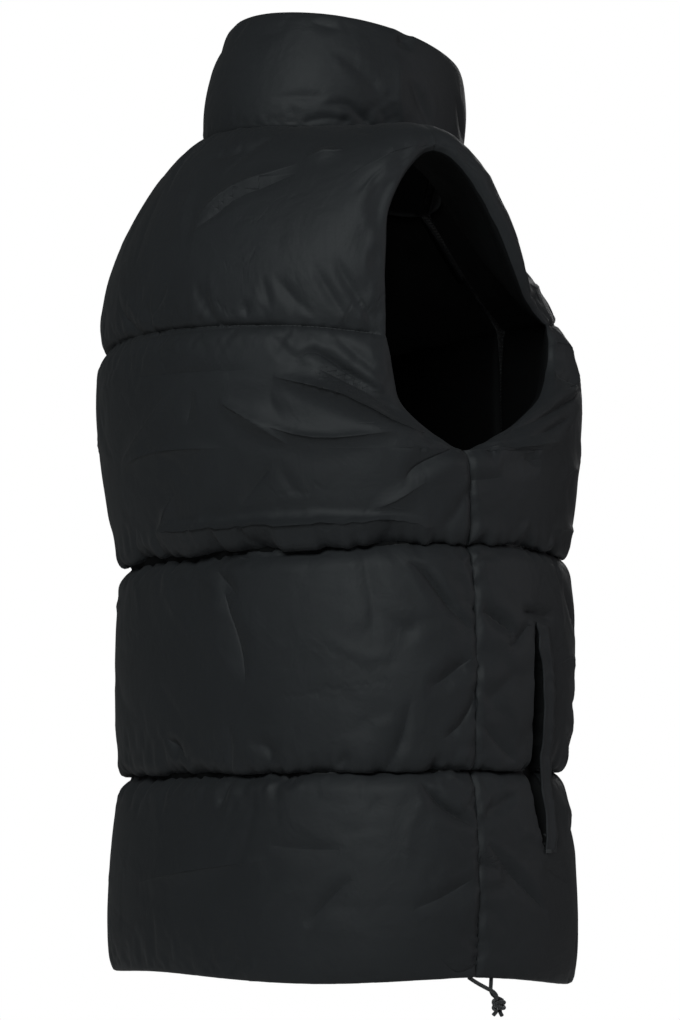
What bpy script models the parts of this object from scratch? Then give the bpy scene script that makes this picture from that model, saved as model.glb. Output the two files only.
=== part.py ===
"""A quilted puffer vest on its own hollow form: back, two fronts, stand collar, two welt
pockets, a front zip and a hem drawcord. Metres, +Z up. The vest faces -Y and the wearer's
right is -X. The origin is where the wearer carries it, between the two neck points.

The body is one smooth surface. "turn" goes round it in degrees: 0 at the middle of the back,
90 at the side seam, 180 at the zip, positive on the wearer's right. "level" goes up it: 0 at
the hem, 1, 2 and 3 on the quilt lines and 4 at the neck seam."""

import math
from collections import namedtuple

import bmesh
import bpy
from mathutils import Matrix, Vector

# --- driving sizes ----------------------------------------------------------------------------

SEAM_GAP = 0.0003        # between two pieces that are sewn edge to edge
SEAM_WALL = 0.003        # shell and lining pressed together on a seam or a quilt line
SEAM_TAPER = 0.026       # the filling reaches its full loft this far from a seam
EDGE_TAPER = 0.016       # and this far from the turned edge of an armhole
EDGE_START = 0.002       # the turned edge keeps the loft it would have this far in
FOLD_START = 0.04        # a folded edge keeps the loft of this part of its channel
PILLOW_FLATNESS = 2.4    # 2 is a plain arc between two seams, more is flatter on top
PILLOW_STEEPNESS = 0.6   # 1 rises softly from a seam, less rises faster

Line = namedtuple("Line", "half_width half_depth middle back blade side chest zip")
LINES = (                # half sizes, middle's y, then the line's height at five turns
    Line(0.200, 0.142, 0.0035, -0.604, -0.608, -0.604, -0.612, -0.609),
    Line(0.196, 0.135, 0.003, -0.465, -0.465, -0.463, -0.463, -0.463),
    Line(0.189, 0.1415, 0.001, -0.309, -0.309, -0.305, -0.309, -0.309),
    Line(0.183, 0.150, 0.012, -0.150, -0.155, -0.165, -0.142, -0.131),
    Line(0.079, 0.086, 0.014, 0.000, -0.002, -0.008, -0.036, -0.047),
)
RING_ROUNDNESS = 2.2     # 2 is an ellipse, more is squarer
NEAR_ZIP_TURN = 178.0    # a turn close to the zip, to read a surface's width there
READ_TURN, READ_PLACE = 0.5, 0.004    # steps to a point's neighbours on a surface
YOKE_LINE, NECK = 3, 4

Yoke = namedtuple("Yoke", "roundness drop")
YOKE = (                 # the curve over the shoulder, every 30 degrees from back to zip
    Yoke(2.1, 0.055),
    Yoke(2.1, 0.055),
    Yoke(3.2, 0.040),
    Yoke(8.0, 0.013),
    Yoke(1.9, 0.055),
    Yoke(1.2, 0.030),
    Yoke(1.2, 0.030),
)

Channel = namedtuple("Channel", "rows loft_out loft_in")
CHANNELS = (             # parts of the channel's height, and how far the filling swells it
    Channel((0.06, 0.20, 0.40, 0.61, 0.82, 0.95, 1.00), 0.010, 0.005),
    Channel((0.05, 0.18, 0.36, 0.53, 0.69, 0.85, 0.95, 1.00), 0.010, 0.005),
    Channel((0.05, 0.17, 0.31, 0.44, 0.50, 0.58, 0.70, 0.83, 0.94, 1.00), 0.013, 0.006),
    Channel((0.06, 0.16, 0.28, 0.38, 0.46, 0.56, 0.67, 0.78, 0.89, 1.00), 0.008, 0.005),
)
SIDE_TURN = 88.5
UNDERARM = 2.44          # level where the side seam meets the armhole

ArmholeRow = namedtuple("ArmholeRow", "level back front")
ARMHOLE = (              # turns of its back and front edges, from the underarm to the tip
    ArmholeRow(2.44, 87.5, 89.5),
    ArmholeRow(2.50, 80.8, 99.8),
    ArmholeRow(2.58, 75.8, 109.0),
    ArmholeRow(2.68, 71.5, 121.5),
    ArmholeRow(2.80, 70.6, 130.0),
    ArmholeRow(2.93, 70.5, 131.0),
    ArmholeRow(3.10, 70.0, 126.0),
    ArmholeRow(3.28, 70.0, 117.0),
    ArmholeRow(3.42, 72.5, 105.5),
    ArmholeRow(3.51, 84.5, 87.5),
)
SHOULDER_TURN = 86.0

COLLAR_ROWS = 7
COLLAR_ROW_CLOSENESS = 0.5
COLLAR_COLUMNS = 40
COLLAR_CLOSENESS = 0.3   # how much closer its columns stand towards the zip
COLLAR_LOFT = 0.005
COLLAR_BULGE = 0.004     # it bows out by this between neck seam and rim
COLLAR_FOOT = 0.035      # part of its height that the neck seam's gap takes
RIM_HALF_WIDTH, RIM_HALF_DEPTH, RIM_MIDDLE = 0.077, 0.081, -0.004
RIM_HEIGHTS = (0.086, 0.082, 0.071, 0.054, 0.042)

ZIP_EDGE = 0.0075        # from the vest's middle to the edge of each front
ZIP_STEPS = 8            # points of the zip line on each channel and on the collar
TAPE_INNER, TAPE_THICK = 0.0033, 0.0010
TAPE_END, ZIP_START = 0.002, 0.0005    # tape's end below the rim, and zip's above the hem
CHAIN_HALF, CHAIN_THICK = 0.0030, 0.0026
ZIP_BOX_HEIGHT, ZIP_BOX_THICK = 0.008, 0.0040

SLIDER_HEIGHT = 0.028    # of its middle, above the origin
SLIDER_WIDTH, SLIDER_LENGTH, SLIDER_DEPTH, PLATE_THICK = 0.0086, 0.011, 0.006, 0.0014
SLIDER_POST, POST_LENGTH = 0.0027, 0.009
BAIL_RADIUS, BAIL_WIRE, BAIL_STAND = 0.0023, 0.0007, 0.0012
PULL_WIDTH, PULL_THICK, PULL_LENGTH = 0.0064, 0.0016, 0.030
PULL_BAR, PULL_STAND = 0.0006, 0.0015
PULL_SLOT_WIDTH, PULL_SLOT_LENGTH = 0.0032, 0.0033

CORD_DIAMETER = 0.0028
CORD_STEPS = 2
CORD_OUT, CORD_MIDDLE, HEM_AT_SIDE = 0.200, -0.001, -0.6045
REAR_LEG = (             # out from the wearer, along the hem to the back, and up
    (0.0000, 0.0125, -0.0010),
    (0.0005, 0.0065, -0.0046),
    (0.0010, -0.0005, -0.0082),
    (0.0016, -0.0060, -0.0110),
    (0.0017, -0.0085, -0.0138),
)
FORE_LEG = (
    (0.0000, -0.0055, -0.0008),
    (-0.0006, -0.0056, -0.0056),
    (-0.0014, -0.0060, -0.0100),
    (-0.0017, -0.0085, -0.0138),
)
KNOT_HALF_SIZE = (0.0050, 0.0055, 0.0064)
KNOT_PLACE = (0.0, -0.0115, -0.0197)

NYLON = (0.017, 0.019, 0.020)
TAPE_BLACK = (0.015, 0.016, 0.017)
TEETH_BLACK = (0.013, 0.013, 0.014)
ENAMEL_BLACK = (0.020, 0.020, 0.021)
CORD_BLACK = (0.010, 0.010, 0.011)

BACK_COLUMNS = 24
BACK_CLOSENESS = 0.4     # how much closer its columns stand towards the side seams
FRONT_COLUMNS = (0.0, 0.03, 0.09, 0.165, 0.262, 0.315, 0.39, 0.49, 0.60, 0.71, 0.82, 0.91, 0.97, 1.0)
WELT_COLUMNS = (4, 5)    # of the front's columns: the welt lies between them
WELT_LEVELS = (0.61, 1.69)    # of its two ends
WELT_THICK = 0.0025


# --- the body's surface -----------------------------------------------------------------------

def smooth(values, place, mirrored=False):
    """Value at a fractional place in a list, on a smooth curve through its entries."""
    last = len(values) - 1
    start = max(0, min(int(place), last - 1))
    part = place - start
    here, there = values[start], values[start + 1]
    before = values[start - 1] if start else (there if mirrored else 2 * here - there)
    beyond = values[start + 2] if start + 2 <= last else (here if mirrored else 2 * there - here)
    bend = 2 * before - 5 * here + 4 * there - beyond
    swing = 3 * (here - there) + beyond - before
    return here + 0.5 * part * (there - before + part * (bend + part * swing))


def round_the_body(values, turn):
    """A quantity given in even steps from the back's middle to the zip, read at any turn."""
    return smooth(values, abs(turn) / 180 * (len(values) - 1), mirrored=True)


def ring_point(half_width, half_depth, middle, turn):
    """Point of a horizontal ring: sideways and back from the origin."""
    angle = math.radians(abs(turn))
    across, along = math.sin(angle), math.cos(angle)
    size = (across ** RING_ROUNDNESS + abs(along) ** RING_ROUNDNESS) ** (1 / RING_ROUNDNESS)
    side = -1 if turn > 0 else 1
    return Vector((side * half_width * across / size, middle + half_depth * along / size, 0))


def line_height(line, turn):
    return round_the_body((line.back, line.blade, line.side, line.chest, line.zip), turn)


def body_point(turn, level):
    """Point of the body's surface, on the middle of its wall."""
    if level <= YOKE_LINE:
        sizes = [smooth([getattr(line, size) for line in LINES[:NECK]], level)
                 for size in ("half_width", "half_depth", "middle")]
        point = ring_point(*sizes, turn)
        point.z = smooth([line_height(line, turn) for line in LINES[:NECK]], level)
        return point
    low, high = LINES[YOKE_LINE], LINES[NECK]
    foot = ring_point(low.half_width, low.half_depth, low.middle, turn)
    top = ring_point(high.half_width, high.half_depth, high.middle, turn)
    roundness = round_the_body([row.roundness for row in YOKE], turn)
    drop = round_the_body([row.drop for row in YOKE], turn)
    angle = (level - YOKE_LINE) * math.pi / 2
    out, up = max(math.cos(angle), 0.0), math.sin(angle)
    size = (out ** roundness + up ** roundness) ** (1 / roundness)
    point = top.lerp(foot, out / size)
    roof = line_height(high, turn) - drop * out / size
    point.z = line_height(low, turn) + (roof - line_height(low, turn)) * up / size
    return point


def outward(surface, turn, place):
    """Unit vector square to a surface at a point, away from the wearer."""
    round_it = surface(turn + READ_TURN, place) - surface(turn - READ_TURN, place)
    up_it = surface(turn, place + READ_PLACE) - surface(turn, place - READ_PLACE)
    return round_it.cross(up_it).normalized()


def armhole_turn(level, edge):
    """Turn of the armhole's back or front edge at a level between underarm and tip."""
    for low, high in zip(ARMHOLE, ARMHOLE[1:]):
        if level <= high.level:
            part = (level - low.level) / (high.level - low.level)
            return getattr(low, edge) + part * (getattr(high, edge) - getattr(low, edge))
    return SHOULDER_TURN


def side_edge(level, edge):
    """Turn of a panel's side edge: side seam, then armhole, then shoulder seam."""
    if level < UNDERARM:
        return SIDE_TURN
    return armhole_turn(level, edge) if level <= ARMHOLE[-1].level else SHOULDER_TURN


def zip_turn(surface, place):
    """Turn at which a surface comes to the zip's edge, read off a point near the zip."""
    return 180 - (180 - NEAR_ZIP_TURN) * ZIP_EDGE / abs(surface(NEAR_ZIP_TURN, place).x)


def seam_clearance(level, edge):
    """How far, in degrees, a panel stops short of its side edge's line."""
    return math.degrees(SEAM_GAP / 2 / body_point(side_edge(level, edge), level).xy.length)


# --- padded walls -----------------------------------------------------------------------------

def swell(part):
    """The pillow's profile across a channel, 0 on its seams and 1 at its middle."""
    return max(0.0, 1 - abs(2 * part - 1) ** PILLOW_FLATNESS) ** PILLOW_STEEPNESS


def fold_swell(part):
    """The same for a channel whose cloth only folds over at 0, such as at the hem."""
    return swell(FOLD_START + (1 - FOLD_START) * part)


def taper(distance, reach):
    """How much of the loft is left at a distance from an edge."""
    return math.sqrt(1 - (1 - min(max(distance / reach, 0.0), 1.0)) ** 2)


def quilt_levels():
    levels = [0.0]
    for base, channel in enumerate(CHANNELS):
        levels += [base + part for part in channel.rows]
    return levels


def wall_points(turn, level, fullness):
    """Outer and inner point of the padded wall at one place of the body."""
    base = min(int(level), len(CHANNELS) - 1)
    channel = CHANNELS[base]
    swelling = fullness * (swell(level - base) if base else fold_swell(level))
    point, away = body_point(turn, level), outward(body_point, turn, level)
    outer = point + away * (SEAM_WALL / 2 + channel.loft_out * swelling)
    inner = point - away * (SEAM_WALL / 2 + channel.loft_in * swelling)
    return outer, inner


def closer_at_ends(part, closeness):
    """An even step from -1 to 1, moved towards the nearer end by a share."""
    return (1 - closeness) * part + closeness * math.sin(part * math.pi / 2)


def make_wall(name, outer, inner, material):
    """One closed solid between an outer and an inner grid of points, rows from the hem up."""
    rows, columns = len(outer), len(outer[0])
    work = bmesh.new()
    bmesh.ops.create_grid(work, x_segments=columns - 1, y_segments=rows - 1, size=1)
    grown = bmesh.ops.extrude_face_region(work, geom=work.faces[:])["geom"]
    lining = {item for item in grown if isinstance(item, bmesh.types.BMVert)}
    for corner in work.verts:
        column = round((corner.co.x + 1) / 2 * (columns - 1))
        row = round((corner.co.y + 1) / 2 * (rows - 1))
        corner.co = (inner if corner in lining else outer)[row][column]
    bmesh.ops.recalc_face_normals(work, faces=work.faces[:])
    mesh = bpy.data.meshes.new(name)
    work.to_mesh(mesh)
    work.free()
    mesh.shade_smooth()
    mesh.set_sharp_from_angle(angle=math.radians(50))
    return add_part(name, mesh, material)


def add_part(name, data, material):
    part = bpy.data.objects.new(name, data)
    data.materials.append(material)
    vest.objects.link(part)
    return part


def finish(name, colour, roughness, metallic=0.0):
    material = bpy.data.materials.new(name)
    material.use_nodes = True
    shader = material.node_tree.nodes["Principled BSDF"]
    shader.inputs["Base Color"].default_value = (*colour, 1.0)
    shader.inputs["Roughness"].default_value = roughness
    shader.inputs["Metallic"].default_value = metallic
    return material


def split_rows(rows):
    """Rows of (outer, inner) pairs as an outer and an inner grid."""
    return [[pair[0] for pair in row] for row in rows], [[pair[1] for pair in row] for row in rows]


# --- panels -----------------------------------------------------------------------------------

def side_taper(distance, level):
    """Loft left at a distance from the side edge, which is a turned edge on the armhole."""
    if UNDERARM < level < ARMHOLE[-1].level:
        return taper(distance + EDGE_START, EDGE_TAPER)
    return taper(distance, SEAM_TAPER)


def back_row(level):
    limit = side_edge(level, "back") - seam_clearance(level, "back")
    radius = body_point(limit, level).xy.length
    row = []
    for column in range(BACK_COLUMNS + 1):
        part = closer_at_ends(2 * column / BACK_COLUMNS - 1, BACK_CLOSENESS)
        to_edge = radius * math.radians(limit) * (1 - abs(part))
        row.append(wall_points(part * -limit, level, side_taper(to_edge, level)))
    return row


def front_row(level, side):
    start = side_edge(level, "front") + seam_clearance(level, "front")
    finish_turn = zip_turn(body_point, level)
    radius = body_point(start, level).xy.length
    row = []
    for part in FRONT_COLUMNS:
        turn = start + part * (finish_turn - start)
        to_side = radius * math.radians(turn - start)
        to_zip = radius * math.radians(finish_turn - turn)
        fullness = side_taper(to_side, level) * taper(to_zip, SEAM_TAPER)
        row.append(wall_points(side * turn, level, fullness))
    return row


def make_back():
    outer, inner = split_rows([back_row(level) for level in quilt_levels()])
    make_wall("back_panel", outer, inner, finish("nylon_back", NYLON, 0.5))


def make_front(word, side):
    outer, inner = split_rows([front_row(level, side) for level in quilt_levels()])
    make_wall("front_panel_" + word, outer, inner,
              finish("nylon_front_" + word, NYLON, 0.5))
    return outer


def make_welt(word, outer):
    """The pocket's stand-up strip, on the front's own points, moved out."""
    levels = quilt_levels()
    first, last = (min(range(len(levels)), key=lambda row: abs(levels[row] - end))
                   for end in WELT_LEVELS)
    start, stop = WELT_COLUMNS
    under, over = [], []
    for row in range(first, last + 1):
        edge = [outer[row][start], outer[row][stop]]
        away = (edge[1] - edge[0]).cross(outer[row + 1][start] - outer[row - 1][start]).normalized()
        if away.dot(Vector((edge[0].x, edge[0].y, 0))) < 0:
            away = -away
        under.append([point + away * SEAM_GAP for point in edge])
        over.append([point + away * (SEAM_GAP + WELT_THICK) for point in edge])
    make_wall("pocket_welt_" + word, over, under,
              finish("nylon_welt_" + word, NYLON, 0.5))


# --- collar -----------------------------------------------------------------------------------

def collar_point(turn, height):
    """Point on the middle of the collar's wall: height 0 at the neck seam, 1 at the rim."""
    neck = LINES[NECK]
    foot = ring_point(neck.half_width, neck.half_depth, neck.middle, turn)
    foot.z = line_height(neck, turn)
    rim = ring_point(RIM_HALF_WIDTH, RIM_HALF_DEPTH, RIM_MIDDLE, turn)
    rim.z = round_the_body(RIM_HEIGHTS, turn)
    bulge = COLLAR_BULGE * math.sin(math.pi * height)
    point = foot.lerp(rim, height)
    return point + Vector((foot.x, foot.y - neck.middle, 0)).normalized() * bulge


def make_collar():
    rows = []
    for row in range(COLLAR_ROWS + 1):
        part = closer_at_ends(2 * row / COLLAR_ROWS - 1, COLLAR_ROW_CLOSENESS)
        height = COLLAR_FOOT + (1 - COLLAR_FOOT) * (1 + part) / 2
        limit = zip_turn(collar_point, height)
        points = []
        for column in range(COLLAR_COLUMNS + 1):
            turn = limit * closer_at_ends(2 * column / COLLAR_COLUMNS - 1, COLLAR_CLOSENESS)
            to_zip = LINES[NECK].half_depth * math.radians(limit - abs(turn))
            swelling = fold_swell(1 - height) * taper(to_zip, SEAM_TAPER)
            point, away = collar_point(turn, height), outward(collar_point, turn, height)
            points.append((point + away * (SEAM_WALL / 2 + COLLAR_LOFT * swelling),
                           point - away * (SEAM_WALL / 2 + COLLAR_LOFT * swelling)))
        rows.append(points)
    outer, inner = split_rows(rows)
    make_wall("collar", outer, inner, finish("nylon_collar", NYLON, 0.5))


# --- zip --------------------------------------------------------------------------------------

def zip_line():
    """The fronts' meeting line from the hem to the collar's rim, with its outward direction."""
    stops = [(body_point, level / ZIP_STEPS) for level in range(NECK * ZIP_STEPS)]
    stops += [(collar_point, step / ZIP_STEPS) for step in range(ZIP_STEPS + 1)]
    points = [surface(180, place) for surface, place in stops]
    line = []
    for here, point in enumerate(points):
        along = points[min(here + 1, len(points) - 1)] - points[max(here - 1, 0)]
        line.append((point, Vector((1, 0, 0)).cross(along).normalized()))
    return line


def make_strip(name, line, near, far, thickness, material):
    """A thin strip along the zip line between two distances from it."""
    outer = [[point + away * thickness / 2 + Vector((x, 0, 0)) for x in (near, far)]
             for point, away in line]
    inner = [[point - away * thickness / 2 + Vector((x, 0, 0)) for x in (near, far)]
             for point, away in line]
    make_wall(name, outer, inner, material)


def stop_at(line, height):
    """Point of the zip line at a height, with its outward direction."""
    for (under, away), (over, over_away) in zip(line, line[1:]):
        if under.z <= height <= over.z:
            part = (height - under.z) / (over.z - under.z)
            return under.lerp(over, part), away.lerp(over_away, part)


def cut_line(line, low, high):
    """The stretch of the zip line between two heights, with a point put on each end."""
    between = [stop for stop in line if low < stop[0].z < high]
    return [stop_at(line, low), *between, stop_at(line, high)]


def box(name, size, place):
    bpy.ops.mesh.primitive_cube_add(size=1)
    block = bpy.context.object
    block.name = name
    block.data.transform(Matrix.Diagonal((*size, 1)))
    block.data.transform(Matrix.Translation(place))
    return block


def as_helper(block, parent):
    """Keep a shape only as another's Boolean operand."""
    for home in list(block.users_collection):
        home.objects.unlink(block)
    cutters.objects.link(block)
    block.hide_render = True
    block.display_type = "WIRE"
    block.parent = parent
    return block


def combine(target, operand, operation):
    change = target.modifiers.new(operand.name, "BOOLEAN")
    change.operation = operation
    change.object = operand


def adopt(block, material, parent=None):
    """Put a primitive among the vest's parts."""
    for home in list(block.users_collection):
        home.objects.unlink(block)
    vest.objects.link(block)
    block.data.materials.append(material)
    block.parent = parent


def make_slider(line):
    """Slider with its bail, closed to the top of the collar, and the pull tab hanging on it."""
    seat_point, away = stop_at(line, SLIDER_HEIGHT)
    seat = bpy.data.objects.new("slider_seat", None)
    vest.objects.link(seat)
    seat.location = seat_point
    seat.rotation_euler.x = math.atan2(-away.z, -away.y)
    face = SLIDER_DEPTH / 2
    body = box("zip_slider", (SLIDER_WIDTH, PLATE_THICK, SLIDER_LENGTH), (0, PLATE_THICK / 2 - face, 0))
    adopt(body, finish("zip_slider_metal", ENAMEL_BLACK, 0.35, 0.8), seat)
    back = box("slider_back_plate", (SLIDER_WIDTH, PLATE_THICK, SLIDER_LENGTH),
               (0, face - PLATE_THICK / 2, 0))
    post = box("slider_post", (2 * SLIDER_POST, SLIDER_DEPTH - PLATE_THICK, POST_LENGTH), (0, 0, 0))
    bpy.ops.mesh.primitive_torus_add(major_radius=BAIL_RADIUS, minor_radius=BAIL_WIRE,
                                     major_segments=24, minor_segments=10)
    bail = bpy.context.object
    bail.name = "slider_bail"
    bail.data.transform(Matrix.Rotation(math.pi / 2, 4, "Y"))
    bail.data.transform(Matrix.Translation((0, -face - BAIL_STAND, 0)))
    for piece in (back, post, bail):
        combine(body, as_helper(piece, seat), "UNION")

    bpy.context.view_layer.update()
    pull = box("zip_pull_tab", (PULL_WIDTH, PULL_THICK, PULL_LENGTH),
               (0, 0, PULL_BAR - PULL_LENGTH / 2))
    adopt(pull, finish("zip_pull_metal", ENAMEL_BLACK, 0.35, 0.8))
    pull.location = seat.matrix_world @ Vector((0, -face - PULL_STAND, 0))
    slot = box("pull_slot", (PULL_SLOT_WIDTH, 3 * PULL_THICK, PULL_SLOT_LENGTH),
               (0, 0, -PULL_BAR - PULL_SLOT_LENGTH / 2))
    combine(pull, as_helper(slot, pull), "DIFFERENCE")


def make_zip():
    line = zip_line()
    low, high = line[0][0].z, line[-1][0].z
    tape = finish("zip_tape", TAPE_BLACK, 0.75)
    tape_line = cut_line(line, low + ZIP_START, high - TAPE_END)
    for word, side in (("right", -1), ("left", 1)):
        near, far = side * TAPE_INNER, side * (ZIP_EDGE - SEAM_GAP)
        make_strip("zip_tape_" + word, tape_line, near, far, TAPE_THICK, tape.copy())
    box_top = low + ZIP_BOX_HEIGHT
    chain_line = cut_line(line, box_top + SEAM_GAP, SLIDER_HEIGHT - POST_LENGTH / 2 - SEAM_GAP)
    make_strip("zip_chain", chain_line, -CHAIN_HALF, CHAIN_HALF, CHAIN_THICK,
               finish("zip_chain", TEETH_BLACK, 0.45))
    make_strip("zip_box", cut_line(line, low + ZIP_START, box_top), -CHAIN_HALF, CHAIN_HALF,
               ZIP_BOX_THICK, finish("zip_box", TEETH_BLACK, 0.40))
    make_slider(line)


# --- hem drawcord -----------------------------------------------------------------------------

def cord_route(points):
    """Points a little apart on a smooth curve through a leg's own points."""
    route = []
    last = (len(points) - 1) * CORD_STEPS
    for step in range(last + 1):
        route.append([smooth([point[axis] for point in points], step / CORD_STEPS)
                      for axis in range(3)])
    return route


def make_cord(name, points):
    curve = bpy.data.curves.new(name, "CURVE")
    curve.dimensions = "3D"
    curve.bevel_depth = CORD_DIAMETER / 2
    curve.bevel_resolution = 2
    curve.use_fill_caps = True
    spline = curve.splines.new("POLY")
    route = cord_route(points)
    spline.points.add(len(route) - 1)
    for spot, (out, along, up) in zip(spline.points, route):
        spot.co = (-CORD_OUT - out, CORD_MIDDLE + along, HEM_AT_SIDE + up, 1)
    add_part(name, curve, finish(name, CORD_BLACK, 0.7))


def make_knot(name):
    bpy.ops.mesh.primitive_uv_sphere_add(segments=16, ring_count=10, radius=1)
    knot = bpy.context.object
    knot.name = name
    knot.data.transform(Matrix.Diagonal((*KNOT_HALF_SIZE, 1)))
    knot.data.shade_smooth()
    out, along, up = KNOT_PLACE
    knot.location = (-CORD_OUT - out, CORD_MIDDLE + along, HEM_AT_SIDE + up)
    adopt(knot, finish(name, CORD_BLACK, 0.7))


# --- build ------------------------------------------------------------------------------------

for old in list(bpy.data.objects):
    bpy.data.objects.remove(old)
vest = bpy.data.collections.new("puffer_vest")
cutters = bpy.data.collections.new("cutters")
bpy.context.scene.collection.children.link(vest)
bpy.context.scene.collection.children.link(cutters)

make_back()
for word, side in (("right", 1), ("left", -1)):
    make_welt(word, make_front(word, side))
make_cord("cord_rear_leg", REAR_LEG)
make_cord("cord_fore_leg", FORE_LEG)
make_knot("cord_knot")
make_collar()
make_zip()
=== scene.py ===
"""The looks of a quilted puffer vest, piece by piece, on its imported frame. Metres, +Z up; the
vest faces -Y and the wearer's right is -X.

The body's cloth is placed by "turn" and "level": turn goes round it in degrees, 0 at the middle
of the back, 90 at the side seam and 180 at the zip, positive on the wearer's right; level is 0
at the hem, 1, 2 and 3 on the quilt lines and 4 at the neck seam."""

import math
from collections import namedtuple

import bmesh
import bpy
import numpy as np
from mathutils import Matrix, Vector


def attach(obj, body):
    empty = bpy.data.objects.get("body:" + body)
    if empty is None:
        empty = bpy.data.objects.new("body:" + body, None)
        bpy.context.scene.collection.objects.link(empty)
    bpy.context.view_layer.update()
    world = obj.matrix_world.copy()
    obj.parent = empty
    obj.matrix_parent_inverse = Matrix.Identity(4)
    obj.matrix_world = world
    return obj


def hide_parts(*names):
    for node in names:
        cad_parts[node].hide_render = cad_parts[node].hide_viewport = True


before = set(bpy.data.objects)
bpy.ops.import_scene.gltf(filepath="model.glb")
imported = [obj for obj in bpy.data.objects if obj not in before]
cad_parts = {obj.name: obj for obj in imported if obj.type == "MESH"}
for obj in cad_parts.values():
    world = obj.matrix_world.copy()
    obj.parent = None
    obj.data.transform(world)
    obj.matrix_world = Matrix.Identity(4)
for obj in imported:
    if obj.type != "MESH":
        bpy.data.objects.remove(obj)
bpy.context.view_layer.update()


# --- camera -----------------------------------------------------------------------------------
# The vest is seen from behind and from the wearer's right, from a little above the hem and far
# enough away that its sides stay nearly parallel.

VIEW_TURN = 61.0
VIEW_DISTANCE = 3.0
VIEW_HEIGHT = -0.4936
AIM_ASIDE, AIM_HEIGHT = -0.0015, -0.2705
LENS, SENSOR = 144.25, 36.0



def add_object(name, data):
    """A new object in the scene, at its origin."""
    made = bpy.data.objects.new(name, data)
    bpy.context.scene.collection.objects.link(made)
    return made


view_angle = math.radians(VIEW_TURN)
towards_camera = Vector((-math.sin(view_angle), math.cos(view_angle), 0))
view_right = Vector((-math.cos(view_angle), -math.sin(view_angle), 0))
camera = add_object("camera", bpy.data.cameras.new("camera"))
camera.data.lens = LENS
camera.data.sensor_width = SENSOR
camera.location = towards_camera * VIEW_DISTANCE + Vector((0, 0, VIEW_HEIGHT))
aim = view_right * AIM_ASIDE + Vector((0, 0, AIM_HEIGHT))
camera.rotation_euler = (aim - camera.location).to_track_quat("-Z", "Y").to_euler()
bpy.context.scene.camera = camera


# --- hem drawcord -----------------------------------------------------------------------------
# A braided elastic cord runs in the turned hem. Its two ends come out beside the right side
# seam, are tied in one overhand knot and are cut short below it.

CORD_DIAMETER = 0.0028
CORD_OUT, CORD_MIDDLE, HEM_AT_SIDE = 0.200, -0.001, -0.6045
REAR_LEG = (             # out from the wearer, along the hem to the back, and up
    (0.0000, 0.0125, -0.0010),
    (0.0005, 0.0065, -0.0046),
    (0.0010, -0.0005, -0.0082),
    (0.0016, -0.0060, -0.0110),
    (0.0017, -0.0085, -0.0138),
)
FORE_LEG = (
    (0.0000, -0.0055, -0.0008),
    (-0.0006, -0.0056, -0.0056),
    (-0.0014, -0.0060, -0.0100),
    (-0.0017, -0.0085, -0.0138),
)
KNOT_PLACE = Vector((0.0, -0.0115, -0.0197))
KNOT_WRAP = 0.0036       # radius of the cord's turns in the knot
WRAP_LEAN = 0.6          # of a strand's tilt that its turns take up
WRAP_STEPS = 9
CORD_SIDES = 12
CORD_STEP = 0.0006       # between the rings of the cord's skin
PLAIT = 0.0016           # length of one stitch of the braid
PLAIT_THREADS = 4        # threads that run each way round it
CORD_BLACK = (0.012, 0.013, 0.014)

REAR_TAIL = ((0.0004, 0.0022, -0.0046), (0.0006, 0.0048, -0.0074))
FORE_TAIL = ((-0.0004, -0.0012, -0.0050), (-0.0008, -0.0030, -0.0080))

# Each strand's wrap round the knot: its first angle, how far it turns, its tilt and its heights.
Strand = namedtuple("Strand", "word nodes leg start wrap tilt top bottom tail")
STRANDS = (
    Strand("rear", ("cord_rear_leg", "cord_knot"), REAR_LEG, 60, 430, 0.9, 0.0026, -0.0016,
           REAR_TAIL),
    Strand("fore", ("cord_fore_leg",), FORE_LEG, 250, -380, -0.8, 0.0020, -0.0022, FORE_TAIL),
)


def smooth_route(points, step):
    """Points a small step apart on a Catmull-Rom curve through given points."""
    points = [Vector(point) for point in points]
    ends = [2 * points[0] - points[1], *points, 2 * points[-1] - points[-2]]
    route = [points[0]]
    for before, here, there, beyond in zip(ends, ends[1:], ends[2:], ends[3:]):
        count = max(1, round((there - here).length / step))
        for index in range(1, count + 1):
            t = index / count
            bend = 2 * before - 5 * here + 4 * there - beyond
            swing = 3 * (here - there) + beyond - before
            route.append(here + 0.5 * t * (there - before + t * (bend + t * swing)))
    return route


def strand_route(strand):
    """The leg, the strand's turns round the knot's middle, and its tail, in the vest's frame."""
    points = [Vector(point) for point in strand.leg]
    for index in range(WRAP_STEPS + 1):
        part = index / WRAP_STEPS
        angle = math.radians(strand.start + part * strand.wrap)
        across = Vector((math.cos(angle), math.sin(angle), 0)) * KNOT_WRAP
        height = strand.top + part * (strand.bottom - strand.top)
        height += strand.tilt * across.x * WRAP_LEAN
        points.append(KNOT_PLACE + across + Vector((0, 0, height)))
    points += [KNOT_PLACE + Vector(point) for point in strand.tail]
    placed = [(-CORD_OUT - p.x, CORD_MIDDLE + p.y, HEM_AT_SIDE + p.z) for p in points]
    return smooth_route(placed, CORD_STEP)


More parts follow.
